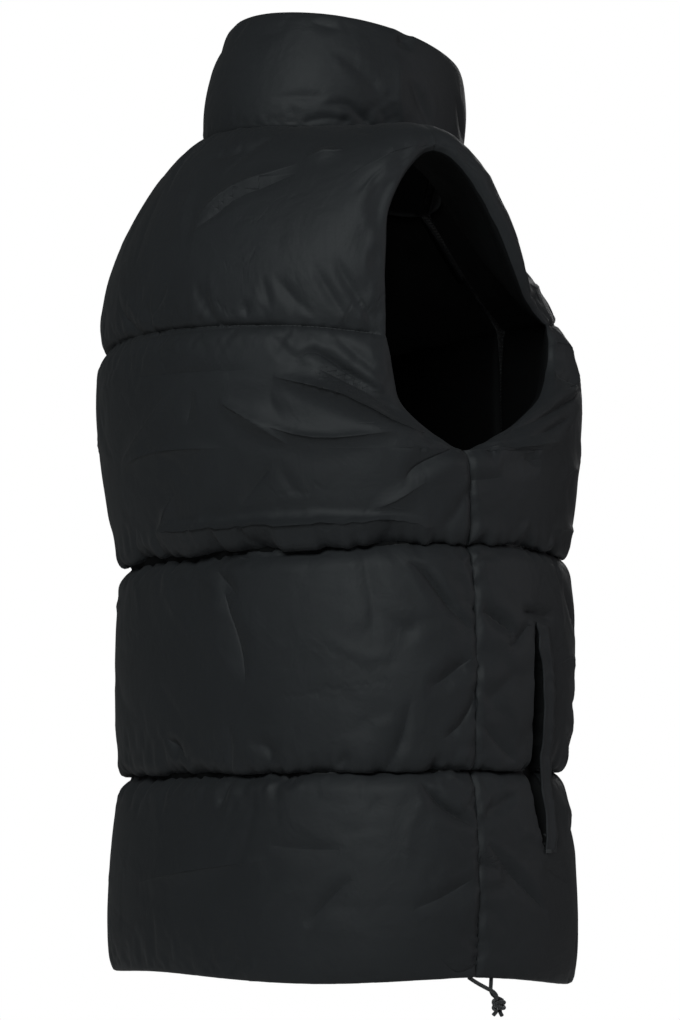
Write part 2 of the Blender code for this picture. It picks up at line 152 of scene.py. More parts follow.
def skin_cord(name, route, radius):
    """A tube with flat cut ends; its UV map runs round it and, in metres, along it."""
    verts, faces, coords = [], [], []
    tangent = (route[1] - route[0]).normalized()
    across = tangent.orthogonal().normalized()
    travelled = 0.0
    marks = []
    for index, point in enumerate(route):
        behind, ahead = route[max(index - 1, 0)], route[min(index + 1, len(route) - 1)]
        tangent = (ahead - behind).normalized()
        across = (across - tangent * across.dot(tangent)).normalized()
        beside = tangent.cross(across)
        travelled += (point - behind).length
        marks.append(travelled)
        for corner in range(CORD_SIDES):
            angle = 2 * math.pi * corner / CORD_SIDES
            verts.append(point + (across * math.cos(angle) + beside * math.sin(angle)) * radius)
    for ring in range(len(route) - 1):
        for corner in range(CORD_SIDES):
            following = (corner + 1) % CORD_SIDES
            base, above = ring * CORD_SIDES, (ring + 1) * CORD_SIDES
            faces.append((base + corner, base + following, above + following, above + corner))
            around, on = corner / CORD_SIDES, (corner + 1) / CORD_SIDES
            low, high = marks[ring], marks[ring + 1]
            coords += [(around, low), (on, low), (on, high), (around, high)]
    last = (len(route) - 1) * CORD_SIDES
    faces += [tuple(reversed(range(CORD_SIDES))), tuple(range(last, last + CORD_SIDES))]
    coords += [(0.0, 0.0)] * (2 * CORD_SIDES)
    mesh = bpy.data.meshes.new(name)
    mesh.from_pydata(verts, [], faces)
    layer = mesh.uv_layers.new(name="cloth")
    layer.data.foreach_set("uv", np.array(coords, np.float32).ravel())
    mesh.shade_smooth()
    mesh.set_sharp_from_angle(angle=math.radians(60))
    return add_object(name, mesh)


def add_node(tree, kind, inputs=(), **settings):
    """A shader node with its settings and its inputs, given as values or as other sockets."""
    node = tree.nodes.new(kind)
    for name, value in settings.items():
        setattr(node, name, value)
    for name, value in dict(inputs).items():
        if isinstance(value, bpy.types.NodeSocket):
            tree.links.new(value, node.inputs[name])
        else:
            node.inputs[name].default_value = value
    return node


def calculate(tree, operation, *values):
    """The result of a Math node on values or sockets."""
    return add_node(tree, "ShaderNodeMath", dict(enumerate(values)), operation=operation).outputs[0]


def new_finish(name, **constants):
    """A material with its Principled shader's own values set."""
    material = bpy.data.materials.new(name)
    material.use_nodes = True
    shader = material.node_tree.nodes["Principled BSDF"]
    for socket, value in constants.items():
        shader.inputs[socket.replace("_", " ")].default_value = value
    return material, material.node_tree, shader


def braided_cord():
    """Elastic cord: two families of threads crossing round it, each a soft bump."""
    material, tree, shader = new_finish("braided_cord", Roughness=0.72, Sheen_Weight=0.3)
    place = add_node(tree, "ShaderNodeUVMap", uv_map="cloth")
    parts = add_node(tree, "ShaderNodeSeparateXYZ", {"Vector": place.outputs["UV"]})
    along = calculate(tree, "MULTIPLY", parts.outputs["Y"], math.tau / PLAIT)
    around = calculate(tree, "MULTIPLY", parts.outputs["X"], math.tau * PLAIT_THREADS)
    waves = [calculate(tree, "SINE", calculate(tree, way, along, around))
             for way in ("ADD", "SUBTRACT")]
    height = calculate(tree, "MAXIMUM", *waves)
    bump = add_node(tree, "ShaderNodeBump", {"Strength": 0.8, "Distance": 0.0003, "Height": height})
    tree.links.new(bump.outputs["Normal"], shader.inputs["Normal"])
    # The threads' crests are coloured lighter and the grooves between them darker: painted light
    # and shade.
    shade = calculate(tree, "MULTIPLY_ADD", height, 0.3, 0.9)
    colour = add_node(tree, "ShaderNodeVectorMath", {0: CORD_BLACK, 1: shade}, operation="MULTIPLY")
    tree.links.new(colour.outputs[0], shader.inputs["Base Color"])
    return material


cord_finish = braided_cord()
for strand in STRANDS:
    route = strand_route(strand)
    cord = skin_cord(f"drawcord_{strand.word}", route, CORD_DIAMETER / 2)
    cord.data.materials.append(cord_finish)
    length = sum((there - here).length for here, there in zip(route, route[1:]))
    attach(cord, "vest")
    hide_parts(*strand.nodes)


# --- back panel -------------------------------------------------------------------------------
# Shell and lining of black satin nylon with polyester filling between them, quilted across on
# three lines. It is cut in one piece from side seam to side seam and from hem to neck seam.

SEAM_GAP = 0.0003
SEAM_WALL = 0.003
SEAM_TAPER, SEAM_START = 0.026, 0.016
EDGE_TAPER, EDGE_START = 0.015, 0.0008
FOLD_START = 0.04        # where the hem's or the rim's turned edge starts on the filling's profile
PILLOW_POWER, PILLOW_STEEPNESS = 2.4, 0.6

Line = namedtuple("Line", "half_width half_depth middle back blade side chest zip")
LINES = (
    Line(0.200, 0.142, 0.0035, -0.604, -0.608, -0.604, -0.612, -0.609),
    Line(0.196, 0.135, 0.003, -0.465, -0.465, -0.463, -0.463, -0.463),
    Line(0.189, 0.1415, 0.001, -0.309, -0.309, -0.305, -0.309, -0.309),
    Line(0.183, 0.150, 0.012, -0.150, -0.155, -0.165, -0.142, -0.131),
    Line(0.079, 0.086, 0.014, 0.000, -0.002, -0.008, -0.036, -0.047),
)
RING_ROUNDNESS = 2.2
YOKE_LINE, NECK = 3, 4

Yoke = namedtuple("Yoke", "roundness drop")
YOKE = (
    Yoke(2.1, 0.055),
    Yoke(2.1, 0.055),
    Yoke(3.2, 0.040),
    Yoke(8.0, 0.013),
    Yoke(1.9, 0.055),
    Yoke(1.2, 0.030),
    Yoke(1.2, 0.030),
)

Channel = namedtuple("Channel", "loft_out loft_in crest")
CHANNELS = (
    Channel(0.010, 0.005, 0.48),
    Channel(0.010, 0.005, 0.46),
    Channel(0.013, 0.006, 0.56),
    Channel(0.008, 0.005, 0.50),
)
SIDE_TURN = 88.5
SHOULDER_TURN = 86.0
UNDERARM, ARMHOLE_TIP = 2.44, 3.51
ArmholeRow = namedtuple("ArmholeRow", "level back front")
ARMHOLE = (
    ArmholeRow(2.455, 84.8, 93.2),
    ArmholeRow(2.50, 80.2, 99.8),
    ArmholeRow(2.58, 75.2, 109.5),
    ArmholeRow(2.68, 71.2, 121.5),
    ArmholeRow(2.80, 70.6, 131.0),
    ArmholeRow(2.93, 70.5, 132.5),
    ArmholeRow(3.10, 70.0, 127.5),
    ArmholeRow(3.28, 70.0, 118.0),
    ArmholeRow(3.42, 72.5, 106.0),
)


def curve_weights(place, count, mirrored=False):
    """Shares of a table's entries on a smooth curve through them, at fractional places."""
    place = np.asarray(place, float)
    start = np.clip(place.astype(int), 0, count - 2)
    t = place - start
    shares = (2 * t**2 - t - t**3, 2 - 5 * t**2 + 3 * t**3, t + 4 * t**2 - 3 * t**3, t**3 - t**2)
    weights = np.zeros(place.shape + (count + 2,))
    for step, share in enumerate(shares):
        np.put_along_axis(weights, (start + step)[..., None], share[..., None] / 2, -1)
    before, beyond = weights[..., 0].copy(), weights[..., -1].copy()
    if mirrored:
        weights[..., 2] += before
        weights[..., -3] += beyond
    else:
        weights[..., 1] += 2 * before
        weights[..., 2] -= before
        weights[..., -2] += 2 * beyond
        weights[..., -3] -= beyond
    return weights[..., 1:-1]


def round_the_body(values, turn):
    """A table in even steps from the back's middle to the zip, read at any turn."""
    place = np.abs(turn) / 180 * (len(values) - 1)
    return curve_weights(place, len(values), True) @ np.array(values, float)


def ring(half_width, half_depth, middle, turn):
    """Point of a horizontal ring of the body, at no height."""
    angle = np.radians(np.abs(turn))
    across, along = np.abs(np.sin(angle)), np.cos(angle)
    size = (across**RING_ROUNDNESS + np.abs(along)**RING_ROUNDNESS) ** (1 / RING_ROUNDNESS)
    x = -np.sign(turn) * half_width * across / size
    return np.stack([x, middle + half_depth * along / size, np.zeros_like(x)], -1)


def line_height(line, turn):
    return round_the_body(line[3:], turn)


def body(turn, level):
    """Points of the body's surface, on the middle of its wall."""
    turn, level = (np.asarray(values, float) for values in np.broadcast_arrays(turn, level))
    rings = LINES[:NECK]
    shares = curve_weights(np.minimum(level, YOKE_LINE), len(rings))
    sizes = [shares @ np.array([line[index] for line in rings]) for index in range(3)]
    lower = ring(*sizes, turn)
    heights = np.stack([line_height(line, turn) for line in rings], -1)
    lower[..., 2] = (shares * heights).sum(-1)

    low, high = LINES[YOKE_LINE], LINES[NECK]
    foot, top = (ring(*line[:3], turn) for line in (low, high))
    roundness = round_the_body([row.roundness for row in YOKE], turn)
    drop = round_the_body([row.drop for row in YOKE], turn)
    angle = np.maximum(level - YOKE_LINE, 0) * np.pi / 2
    out, up = np.maximum(np.cos(angle), 0), np.abs(np.sin(angle))
    size = (out**roundness + up**roundness) ** (1 / roundness)
    upper = top + (foot - top) * (out / size)[..., None]
    roof = line_height(high, turn) - drop * out / size
    upper[..., 2] = line_height(low, turn) + (roof - line_height(low, turn)) * up / size
    return np.where((level <= YOKE_LINE)[..., None], lower, upper)


def unit(vectors):
    return vectors / np.maximum(np.linalg.norm(vectors, axis=-1, keepdims=True), 1e-12)


def outward(surface, turn, place):
    """Directions square to a surface, away from the wearer."""
    step_turn, step_place = 0.5, 0.004
    round_it = surface(turn + step_turn, place) - surface(turn - step_turn, place)
    up_it = surface(turn, place + step_place) - surface(turn, place - step_place)
    return unit(np.cross(round_it, up_it))


def armhole_edges():
    """Levels and turns of the armhole's two edges on one smooth closed curve."""
    loop = [(SIDE_TURN, UNDERARM)]
    loop += [(row.front, row.level) for row in ARMHOLE]
    loop += [(SHOULDER_TURN, ARMHOLE_TIP)]
    loop += [(row.back, row.level) for row in reversed(ARMHOLE)]
    tip = len(ARMHOLE) + 1
    closed = np.array(loop[-1:] + loop + loop[:2])
    steps = 40
    places = np.arange(1, len(loop) + 1 + 0.5 / steps, 1 / steps)
    curve = curve_weights(places, len(closed)) @ closed
    front, back = curve[:tip * steps + 1], curve[tip * steps:][::-1]
    return front, back


front_edge, back_edge = armhole_edges()


def side_edge(level, curve):
    """Turn of a panel's side edge: side seam, then armhole, then shoulder seam."""
    on_armhole = np.interp(level, np.maximum.accumulate(curve[:, 1]), curve[:, 0])
    turn = np.where(level < UNDERARM, SIDE_TURN, on_armhole)
    return np.where(level > ARMHOLE_TIP, SHOULDER_TURN, turn)


def pillow(part):
    """The filling's profile from one quilt line to the next."""
    return np.maximum(0, 1 - np.abs(2 * part - 1) ** PILLOW_POWER) ** PILLOW_STEEPNESS


def taper(distance, reach):
    """How much of the loft is left at a distance from an edge."""
    return np.sqrt(1 - (1 - np.clip(distance / reach, 0, 1)) ** 2)


def measure(points, route):
    """Distance of points from a route, how far along it they lie, and the step back to it."""
    steps = route[1:] - route[:-1]
    lengths = np.maximum(np.linalg.norm(steps, axis=-1), 1e-9)
    offsets = points[:, None] - route[None, :-1]
    share = np.clip((offsets * steps).sum(-1) / lengths**2, 0, 1)
    gap = offsets - share[..., None] * steps
    distance = np.linalg.norm(gap, axis=-1)
    nearest = distance.argmin(-1)
    pick = np.arange(len(points)), nearest
    travelled = np.concatenate([[0], np.cumsum(lengths)])[nearest] + share[pick] * lengths[nearest]
    return distance[pick], travelled / lengths.sum(), np.cross(steps[nearest], gap[pick])


EDGE_STEPS = 7           # the armhole's edge is measured to every so many of its curve's points
FAR_FROM_EDGE = 30.0     # turns further from the side than this are full


def side_taper(turn, level, curve):
    """Loft left near the side seam, the armhole's turned edge and the shoulder seam."""
    turn, level = np.abs(turn), np.broadcast_to(level, np.shape(turn))
    near = np.abs(turn - side_edge(level, curve)) < FAR_FROM_EDGE
    points = body(turn[near], level[near])
    edge = curve[::EDGE_STEPS]
    seam = body(SIDE_TURN, np.array([0.0, 0.5, 1.0, 1.5, 2.0, UNDERARM]))
    shoulder = body(SHOULDER_TURN, np.linspace(ARMHOLE_TIP, NECK, 6))
    loft = taper(measure(points, body(edge[:, 0], edge[:, 1]))[0] + EDGE_START, EDGE_TAPER)
    for route in (seam, shoulder):
        loft = loft * taper(measure(points, route)[0] + SEAM_START, SEAM_TAPER)
    fullness = np.ones(turn.shape)
    fullness[near] = loft
    return fullness


def wall(turn, level, fullness):
    """Outer and inner points of the padded wall, and the direction away from the wearer."""
    base = np.clip(level.astype(int), 0, len(CHANNELS) - 1)
    out, inside, crest = (np.array(column)[base] for column in zip(*CHANNELS))
    part = np.clip(level - base, 0, 1) ** (math.log(0.5) / np.log(crest))
    part = np.where(base == 0, FOLD_START + (1 - FOLD_START) * part, part)
    swelling = pillow(part) * fullness
    point, away = body(turn, level), outward(body, turn, level)
    outer = point + away * (SEAM_WALL / 2 + out * swelling)[..., None]
    inner = point - away * (SEAM_WALL / 2 + inside * swelling)[..., None]
    return outer, inner, away


ROWS_IN_CHANNEL = 20
ROW_CROWDING = 0.36      # how much closer rows stand to a quilt line than in mid channel
BACK_COLUMNS = 102
SPLIT = 3                # fine steps of the shell in each step of the lining
CORNER_ROWS = 5          # extra rows where the armhole's edge runs along them
UNDERARM_REACH, TIP_REACH = 0.07, 0.05
ROW_CLEARANCE = 0.012    # in levels, from those extra rows to the next even one


def panel_levels():
    """Levels of a panel's rows, close together on seams and at both ends of the armhole."""
    even = np.linspace(0, 1, ROWS_IN_CHANNEL + 1)
    crowded = even - ROW_CROWDING / math.tau * np.sin(math.tau * even)
    levels = np.concatenate([base + crowded[:-1] for base in range(len(CHANNELS))] + [[NECK]])
    squares = np.linspace(0, 1, CORNER_ROWS + 1) ** 2
    for start, reach in ((UNDERARM, UNDERARM_REACH), (ARMHOLE_TIP, -TIP_REACH)):
        low, high = sorted((start, start + reach))
        levels = levels[(levels < low - ROW_CLEARANCE) | (levels > high + ROW_CLEARANCE)]
        levels = np.concatenate([levels, start + reach * squares])
    return np.sort(levels)


def split_steps(values):
    """The same list with each step divided into SPLIT equal ones."""
    places = np.arange(0, len(values) - 1 + 0.5 / SPLIT, 1 / SPLIT)
    return np.interp(places, np.arange(len(values)), values)


def split_grid(grid):
    """A grid of vectors, smoothly read at the finer steps."""
    rows, columns = (curve_weights(np.arange(0, count - 1 + 0.5 / SPLIT, 1 / SPLIT), count)
                     for count in grid.shape[:2])
    return np.tensordot(columns, np.tensordot(rows, grid, (1, 0)), (1, 1)).swapaxes(0, 1)


def seam_clearance(level, curve):
    edge = body(side_edge(level, curve), level)
    return np.degrees(SEAM_GAP / 2 / np.hypot(edge[..., 0], edge[..., 1]))


def across_back(level, part):
    """Turns and fullness on the back at parts -1 to 1 of its width."""
    level, part = np.broadcast_arrays(level, part)
    turn = part * (side_edge(level, back_edge) - seam_clearance(level, back_edge))
    return turn, side_taper(turn, level, back_edge)


# A fold pressed into the cloth: the spots it runs through (turn, level), how deep it is (a
# ridge where negative), its half width, which side its rolled shoulder lies on, and how softly
# it starts and ends.
Fold = namedtuple("Fold", "spots depth width lean fade_in fade_out", defaults=(0.0, 0.9, 0.9))
SHOULDER_HEIGHT, SHOULDER_PLACE, SHOULDER_WIDTH = 0.11, 2.8, 1.2
CREASE_LEAST, CREASE_PART = 0.0018, 0.40    # how wide its crisp crease is
CREASE_ROUNDNESS = 0.12  # of the crease's tip
CREASE_SHARE = 0.7       # of a fold's depth; the rest is a soft valley
VALLEY_WIDTH = 1.8       # of that valley, in widths of the fold
FOLD_REACH = 6.0         # widths from a fold's line at which it has died out
FOLD_STEPS = 4           # of its curve from one of its spots to the next
TIP_WIDTH = 0.3          # of a fold's width that is left at its two ends
MARK_REACH = 0.005       # how far from a fold's line the cloth still knows it
NO_FOLD = 0.02           # distance written where no fold is near
LEAST_RADIUS, LEAST_LEVEL = 0.10, 0.14    # metres for a radian of turn and for a step of level


def press(points, base, away, turn, level, surface, fold, marks=None):
    """Move points along their outward directions into one fold's trough and shoulders.

    Marks, where they are given, hold each point's distance from its strongest fold's line, that
    fold's depth there and the depth of the next strongest. The finish draws the fold's sharp
    edge from them."""
    spots = np.array(fold.spots, float)
    places = np.linspace(0, len(spots) - 1, FOLD_STEPS * (len(spots) - 1) + 1)
    spots = curve_weights(places, len(spots)) @ spots
    reach = FOLD_REACH * fold.width
    low, high = spots.min(0), spots.max(0)
    margin_turn, margin_level = math.degrees(reach / LEAST_RADIUS), reach / LEAST_LEVEL
    near = ((turn > low[0] - margin_turn) & (turn < high[0] + margin_turn)
            & (level > low[1] - margin_level) & (level < high[1] + margin_level))
    if not near.any():
        return
    distance, along, way = measure(base[near], surface(spots[:, 0], spots[:, 1]))
    side = np.sign((way * away[near]).sum(-1))
    apart = distance * side
    fade = np.clip(along, 0, 1) ** fold.fade_in * np.clip(1 - along, 0, 1) ** fold.fade_out
    fade = np.minimum(fade * 2 ** (fold.fade_in + fold.fade_out), 1)
    distance = distance * (1 + side * fold.lean * 0.5) / (TIP_WIDTH + (1 - TIP_WIDTH) * fade)
    far = distance / fold.width
    sharp = distance / (CREASE_LEAST + CREASE_PART * fold.width)
    crease = np.exp(CREASE_ROUNDNESS - np.hypot(sharp, CREASE_ROUNDNESS))
    trough = CREASE_SHARE * crease + (1 - CREASE_SHARE) * np.exp(-(far / VALLEY_WIDTH) ** 2)
    shoulder = SHOULDER_HEIGHT * np.exp(-((far - SHOULDER_PLACE) / SHOULDER_WIDTH) ** 2)
    push = -fold.depth * fade * (trough - shoulder)
    points[near] += away[near] * push[:, None]
    if marks is not None:
        known = fold.depth * fade * np.exp(-(apart / MARK_REACH) ** 2)
        first, second = marks[1][near], marks[2][near]
        stronger = np.abs(known) > np.abs(first)
        marks[0][near] = np.where(stronger, apart, marks[0][near])
        marks[1][near] = np.where(stronger, known, first)
        marks[2][near] = np.where(stronger, np.abs(first), np.maximum(second, np.abs(known)))


# Above its quilt lines the filled cloth hangs over the stitches, in lobes of every size.
Overhang = namedtuple("Overhang", "level drop")
OVERHANGS = (Overhang(1, 0.0050), Overhang(2, 0.0068), Overhang(3, 0.0012))
LOBE_HEIGHT = 0.0055     # above the line, of the cloth that hangs furthest
LobeWave = namedtuple("LobeWave", "radians_in_a_degree size")
LOBE_WAVES = (LobeWave(0.17, 0.45), LobeWave(0.41, 0.3), LobeWave(0.89, 0.15), LobeWave(1.61, 0.1))
LOBE_MEAN = 0.6          # of the full drop
LOBE_OUT = 0.22          # how far a lobe stands out, in parts of its drop


def hang_over(points, away, turn, level, seed):
    """Lower the cloth just above each quilt line over it."""
    draw = np.random.default_rng(seed)
    for overhang in OVERHANGS:
        starts = draw.uniform(0, math.tau, len(LOBE_WAVES))
        lobes = sum(wave.size * np.sin(wave.radians_in_a_degree * turn + start)
                    for wave, start in zip(LOBE_WAVES, starts))
        lobes = np.clip(LOBE_MEAN + lobes, 0, 1)
        above = np.maximum(level - overhang.level, 0) / GRAIN[1] / LOBE_HEIGHT
        drop = overhang.drop * lobes * above * np.exp(1 - above)
        points += away * (LOBE_OUT * drop)[..., None] - (0, 0, 1) * drop[..., None]


# Gathers stand across a seam where more cloth is sewn to less: short folds of every size. The
# seam's stretch runs from first to last, and side is 1 for the cloth on its left, -1 on its right.
Gathers = namedtuple("Gathers", "first last side spacing length depth width slant")
GRAIN = np.array((350.0, 6.7))    # degrees of turn and steps of level in a metre of cloth
BUNCH_BEATS = (20, 90)   # radians in a metre, of the waves in which gathers bunch together
BUNCH_SWING = 1.7
GATHER_SIZES = (1.2, 2.4)    # of the beta distribution of their sizes
RUN_SPREAD, BEND_SPREAD = 0.35, 0.12    # how much their directions and bends differ
WIDTH_SPREAD, STEP_SPREAD = (0.7, 1.5), (0.35, 1.8)    # in parts of their width and spacing
STANDING = -0.7          # the height of a gather that stands up, in parts of a pressed one's depth


def gather_folds(gathers, seed, grain=GRAIN):
    """Random small folds that run away from a line of stitches, on one side of it."""
    draw = np.random.default_rng(seed)
    start, end = (np.array(spot) / grain for spot in (gathers.first, gathers.last))
    reach = np.linalg.norm(end - start)
    seam = (end - start) / reach
    square = np.array((-seam[1], seam[0])) * gathers.side
    folds, travelled = [], 0.0
    beats = draw.uniform(*BUNCH_BEATS, 3), draw.uniform(0, math.tau, 3)
    while travelled < reach:
        bunching = 0.5 + 0.5 * np.sin(beats[0] * travelled + beats[1]).mean() * BUNCH_SWING
        size = draw.beta(*GATHER_SIZES) * max(bunching, 0.1) * 1.5
        run = gathers.length * (0.3 + 1.4 * size)
        way = square + seam * draw.normal(gathers.slant, RUN_SPREAD)
        bend = seam * draw.normal(0, BEND_SPREAD) * run
        foot = start + seam * travelled
        spots = [foot, foot + way * run * 0.5 + bend, foot + way * run]
        depth = gathers.depth * (0.35 + size) * draw.choice((1, 1, STANDING))
        width = gathers.width * draw.uniform(*WIDTH_SPREAD)
        spots = [tuple(spot * grain) for spot in spots]
        folds.append(Fold(spots, depth, width, draw.uniform(-1, 1), 0.12, 1.0))
        travelled += gathers.spacing * draw.uniform(*STEP_SPREAD)
    return folds


STRAY_LEVELS = (0.1, 3.8)
STRAY_CLEAR = 0.12       # in levels, of the quilt lines
STRAY_ANGLE, STRAY_TILT = 0.5, 0.7    # to the level, in radians: the mean and the spread
STRAY_REACH = (0.008, 0.034)          # half of its length
STRAY_DEPTH, STRAY_WIDTH = (0.0003, 0.0011), (0.0025, 0.0075)


def stray_folds(count, first, last, seed):
    """Slight creases of any length and direction, such as worn and packed cloth has all over."""
    draw = np.random.default_rng(seed)
    folds = []
    for _ in range(count):
        middle = np.array((draw.uniform(first, last), draw.uniform(*STRAY_LEVELS)))
        middle[1] = np.floor(middle[1]) + STRAY_CLEAR + (1 - 2 * STRAY_CLEAR) * (middle[1] % 1)
        angle = draw.normal(STRAY_ANGLE, STRAY_TILT) * draw.choice((-1, 1))
        reach = draw.uniform(*STRAY_REACH)
        step = np.array((math.cos(angle), math.sin(angle))) * reach * GRAIN
        bend = np.array((-math.sin(angle), math.cos(angle))) * reach * GRAIN * draw.normal(0, 0.25)
        spots = [tuple(middle - step), tuple(middle + bend), tuple(middle + step)]
        depth = draw.choice((-1, 1)) * draw.uniform(*STRAY_DEPTH) * (0.5 + reach / STRAY_REACH[1])
        folds.append(Fold(spots, depth, draw.uniform(*STRAY_WIDTH), draw.uniform(-1, 1)))
    return folds


SETTLE_FRAMES = 20
SETTLE_PRESSURE = 3.5
SETTLE_LIMIT = 0.005     # most that the cloth may move from its cut shape
SETTLE_SPREAD = 9.0      # columns over which an even swelling is taken back out
SETTLE_EVENING = 0.9     # of that swelling
SLACK_SHARES = (0.25, 0.5, 0.75, 1.0)


def quads(numbers):
    """The faces between a grid's numbered points, facing out where rows go up and columns right."""
    corners = numbers[:-1, :-1], numbers[:-1, 1:], numbers[1:, 1:], numbers[1:, :-1]
    return np.stack(corners, -1).reshape(-1, 4)


def settle(points, pinned, slack):
    """Let a padded sheet find its own folds: sewn spots held, the rest pushed out by filling."""
    rows, columns = points.shape[:2]
    numbers = np.arange(rows * columns).reshape(rows, columns)
    mesh = bpy.data.meshes.new("settling")
    mesh.from_pydata(points.reshape(-1, 3).tolist(), [], quads(numbers).tolist())
    sheet = add_object("settling", mesh)
    sewn = sheet.vertex_groups.new(name="sewn")
    sewn.add(numbers[pinned].tolist(), 1.0, "ADD")
    loose = sheet.vertex_groups.new(name="loose")
    for least, share in zip((0.0, *SLACK_SHARES), SLACK_SHARES):
        picked = numbers[(slack > least) & (slack <= share)].tolist()
        loose.add(picked, share, "ADD")
    cloth = sheet.modifiers.new("cloth", "CLOTH")
    cloth.settings.quality = 5
    cloth.settings.mass = 0.12
    cloth.settings.tension_stiffness = cloth.settings.compression_stiffness = 12
    cloth.settings.shear_stiffness = 4
    cloth.settings.bending_stiffness = 0.25
    cloth.settings.vertex_group_mass = "sewn"
    cloth.settings.vertex_group_shrink = "loose"
    cloth.settings.shrink_min = -0.012
    cloth.settings.shrink_max = -0.075
    cloth.settings.use_pressure = True
    cloth.settings.uniform_pressure_force = SETTLE_PRESSURE
    cloth.settings.effector_weights.gravity = 0
    cloth.collision_settings.use_collision = False
    for step in range(1, SETTLE_FRAMES + 1):
        bpy.context.scene.frame_set(step)
    shape = sheet.evaluated_get(bpy.context.evaluated_depsgraph_get()).data
    moved = np.empty(rows * columns * 3, np.float32)
    shape.vertices.foreach_get("co", moved)
    bpy.data.objects.remove(sheet)
    bpy.context.scene.frame_set(1)
    move = moved.reshape(rows, columns, 3).astype(float) - points
    gaps = np.subtract.outer(np.arange(columns), np.arange(columns)) / SETTLE_SPREAD
    blur = np.exp(-gaps**2)
    blur /= blur.sum(1, keepdims=True)
    move -= SETTLE_EVENING * np.tensordot(blur, move, (1, 1)).swapaxes(0, 1)
    size = np.maximum(np.linalg.norm(move, axis=-1, keepdims=True), 1e-9)
    return move * np.minimum(1, SETTLE_LIMIT / size)


def grid_travel(points, axis):
    """Distance along a grid's rows or columns from its first one, for the UV map."""
    steps = np.linalg.norm(np.diff(points, axis=axis), axis=-1)
    start = np.zeros_like(np.take(steps, [0], axis))
    return np.concatenate([start, np.cumsum(steps, axis)], axis)


RIM_ANGLES = tuple(math.radians(angle) for angle in (35, 70, 110, 145))


def border(rows, columns, step=1):
    """Row and column numbers round a grid's edge, anticlockwise seen from outside."""
    last_row, last_column = rows - 1, columns - 1
    loop = [(0, column) for column in range(0, last_column, step)]
    loop += [(row, last_column) for row in range(0, last_row, step)]
    loop += [(last_row, column) for column in range(last_column, 0, -step)]
    loop += [(row, 0) for row in range(last_row, 0, -step)]
    return np.array(loop).T


def sew_up(name, outer, inner, roll, finishes, bare=None, marks=None):
    """One closed padded piece: a fine shell, a coarser lining, and a rim rolled between them.
    Where it is bare, the shell's cloth is cut away and the inner cloth shows. Marks are the
    shell's distances from its folds and their depths."""
    rows, columns = outer.shape[:2]
    numbers = np.arange(rows * columns).reshape(rows, columns)
    low_rows, low_columns = inner.shape[:2]
    low = rows * columns + np.arange(low_rows * low_columns).reshape(low_rows, low_columns)
    lining = quads(low)[:, ::-1]

    fine_inner = split_grid(inner)
    travel = np.stack([grid_travel(outer, 1), grid_travel(outer, 0)], -1)
    edge = border(rows, columns)
    inside = np.clip(edge[0], 1, rows - 2), np.clip(edge[1], 1, columns - 2)
    top, bottom = outer[tuple(edge)], fine_inner[tuple(edge)]
    middle, half = (top + bottom) / 2, (top - bottom) / 2
    beyond = top - outer[inside]
    square = unit(half)
    beyond = unit(beyond - square * (beyond * square).sum(-1, keepdims=True))
    rims, verts = [], [outer.reshape(-1, 3), inner.reshape(-1, 3)]
    start = rows * columns + low_rows * low_columns
    for angle in RIM_ANGLES:
        bulge = roll[tuple(edge)][:, None] * np.linalg.norm(half, axis=-1, keepdims=True)
        verts.append(middle + half * math.cos(angle) + beyond * bulge * math.sin(angle))
        rims.append(start + np.arange(edge.shape[1]))
        start += edge.shape[1]
    loops = [numbers[tuple(edge)], *rims]
    faces = quads(numbers).tolist()
    kinds = [0] * len(faces) if bare is None else bare[:-1, :-1].ravel().astype(int).tolist()
    for index, (upper, lower) in enumerate(zip(loops, loops[1:])):
        following = np.roll(upper, -1), np.roll(lower, -1)
        faces += np.stack([following[0], upper, lower, following[1]], -1).tolist()
        kinds += [int(2 * index > len(RIM_ANGLES))] * len(upper)
    coarse = low[tuple(border(low_rows, low_columns))]
    last = rims[-1]
    for index, corner in enumerate(coarse):
        fine = [last[(SPLIT * index + step) % len(last)] for step in range(SPLIT, -1, -1)]
        faces.append([*fine, corner, coarse[(index + 1) % len(coarse)]])
    kinds += [1] * len(coarse)
    faces += lining.tolist()
    kinds += [1] * len(lining)

    mesh = bpy.data.meshes.new(name)
    mesh.from_pydata(np.concatenate(verts).tolist(), [], faces)
    mesh.polygons.foreach_set("material_index", kinds)
    for finish in finishes:
        mesh.materials.append(finish)
    coords = np.concatenate([travel.reshape(-1, 2), travel[::SPLIT, ::SPLIT].reshape(-1, 2),
                             *[travel[tuple(edge)]] * len(rims)])
    corners = np.empty(len(mesh.loops), np.int32)
    mesh.loops.foreach_get("vertex_index", corners)
    layer = mesh.uv_layers.new(name="cloth")
    layer.data.foreach_set("uv", coords[corners].astype(np.float32).ravel())
    if marks is not None:
        lead = marks[1] * (1 - marks[2] / np.maximum(np.abs(marks[1]), 1e-9)) ** 2
        for word, values, plain in (("fold_distance", marks[0], NO_FOLD),
                                    ("fold_depth", lead, 0.0)):
            held = np.full(len(mesh.vertices), plain, np.float32)
            held[:rows * columns] = values.ravel()
            mesh.attributes.new(word, "FLOAT", "POINT").data.foreach_set("value", held)
    mesh.shade_smooth()
    mesh.set_sharp_from_angle(angle=math.radians(70))
    return add_object(name, mesh)


NYLON = (0.0170, 0.0184, 0.0204)
WEAVE = 0.0006           # from one thread to the next
EDGE_SHARP, EDGE_SOFT = 0.0008, 0.0032    # a fold's steep side and its soft side
EDGE_SHARE = 0.45        # of a fold's depth that its sharp edge has
CREASE_LINE = 0.10       # how broad the hair-thin creases are, in parts of the spaces between
CREASE_WANDER = 0.010    # how far a crease strays from a straight line
CREASE_TILT, CREASE_CELLS = 0.7, (13.0, 27.0, 1.0)    # radians, and spaces in a metre
SHELL_ROUGHNESS, SHELL_DRIFT = 0.56, 0.10


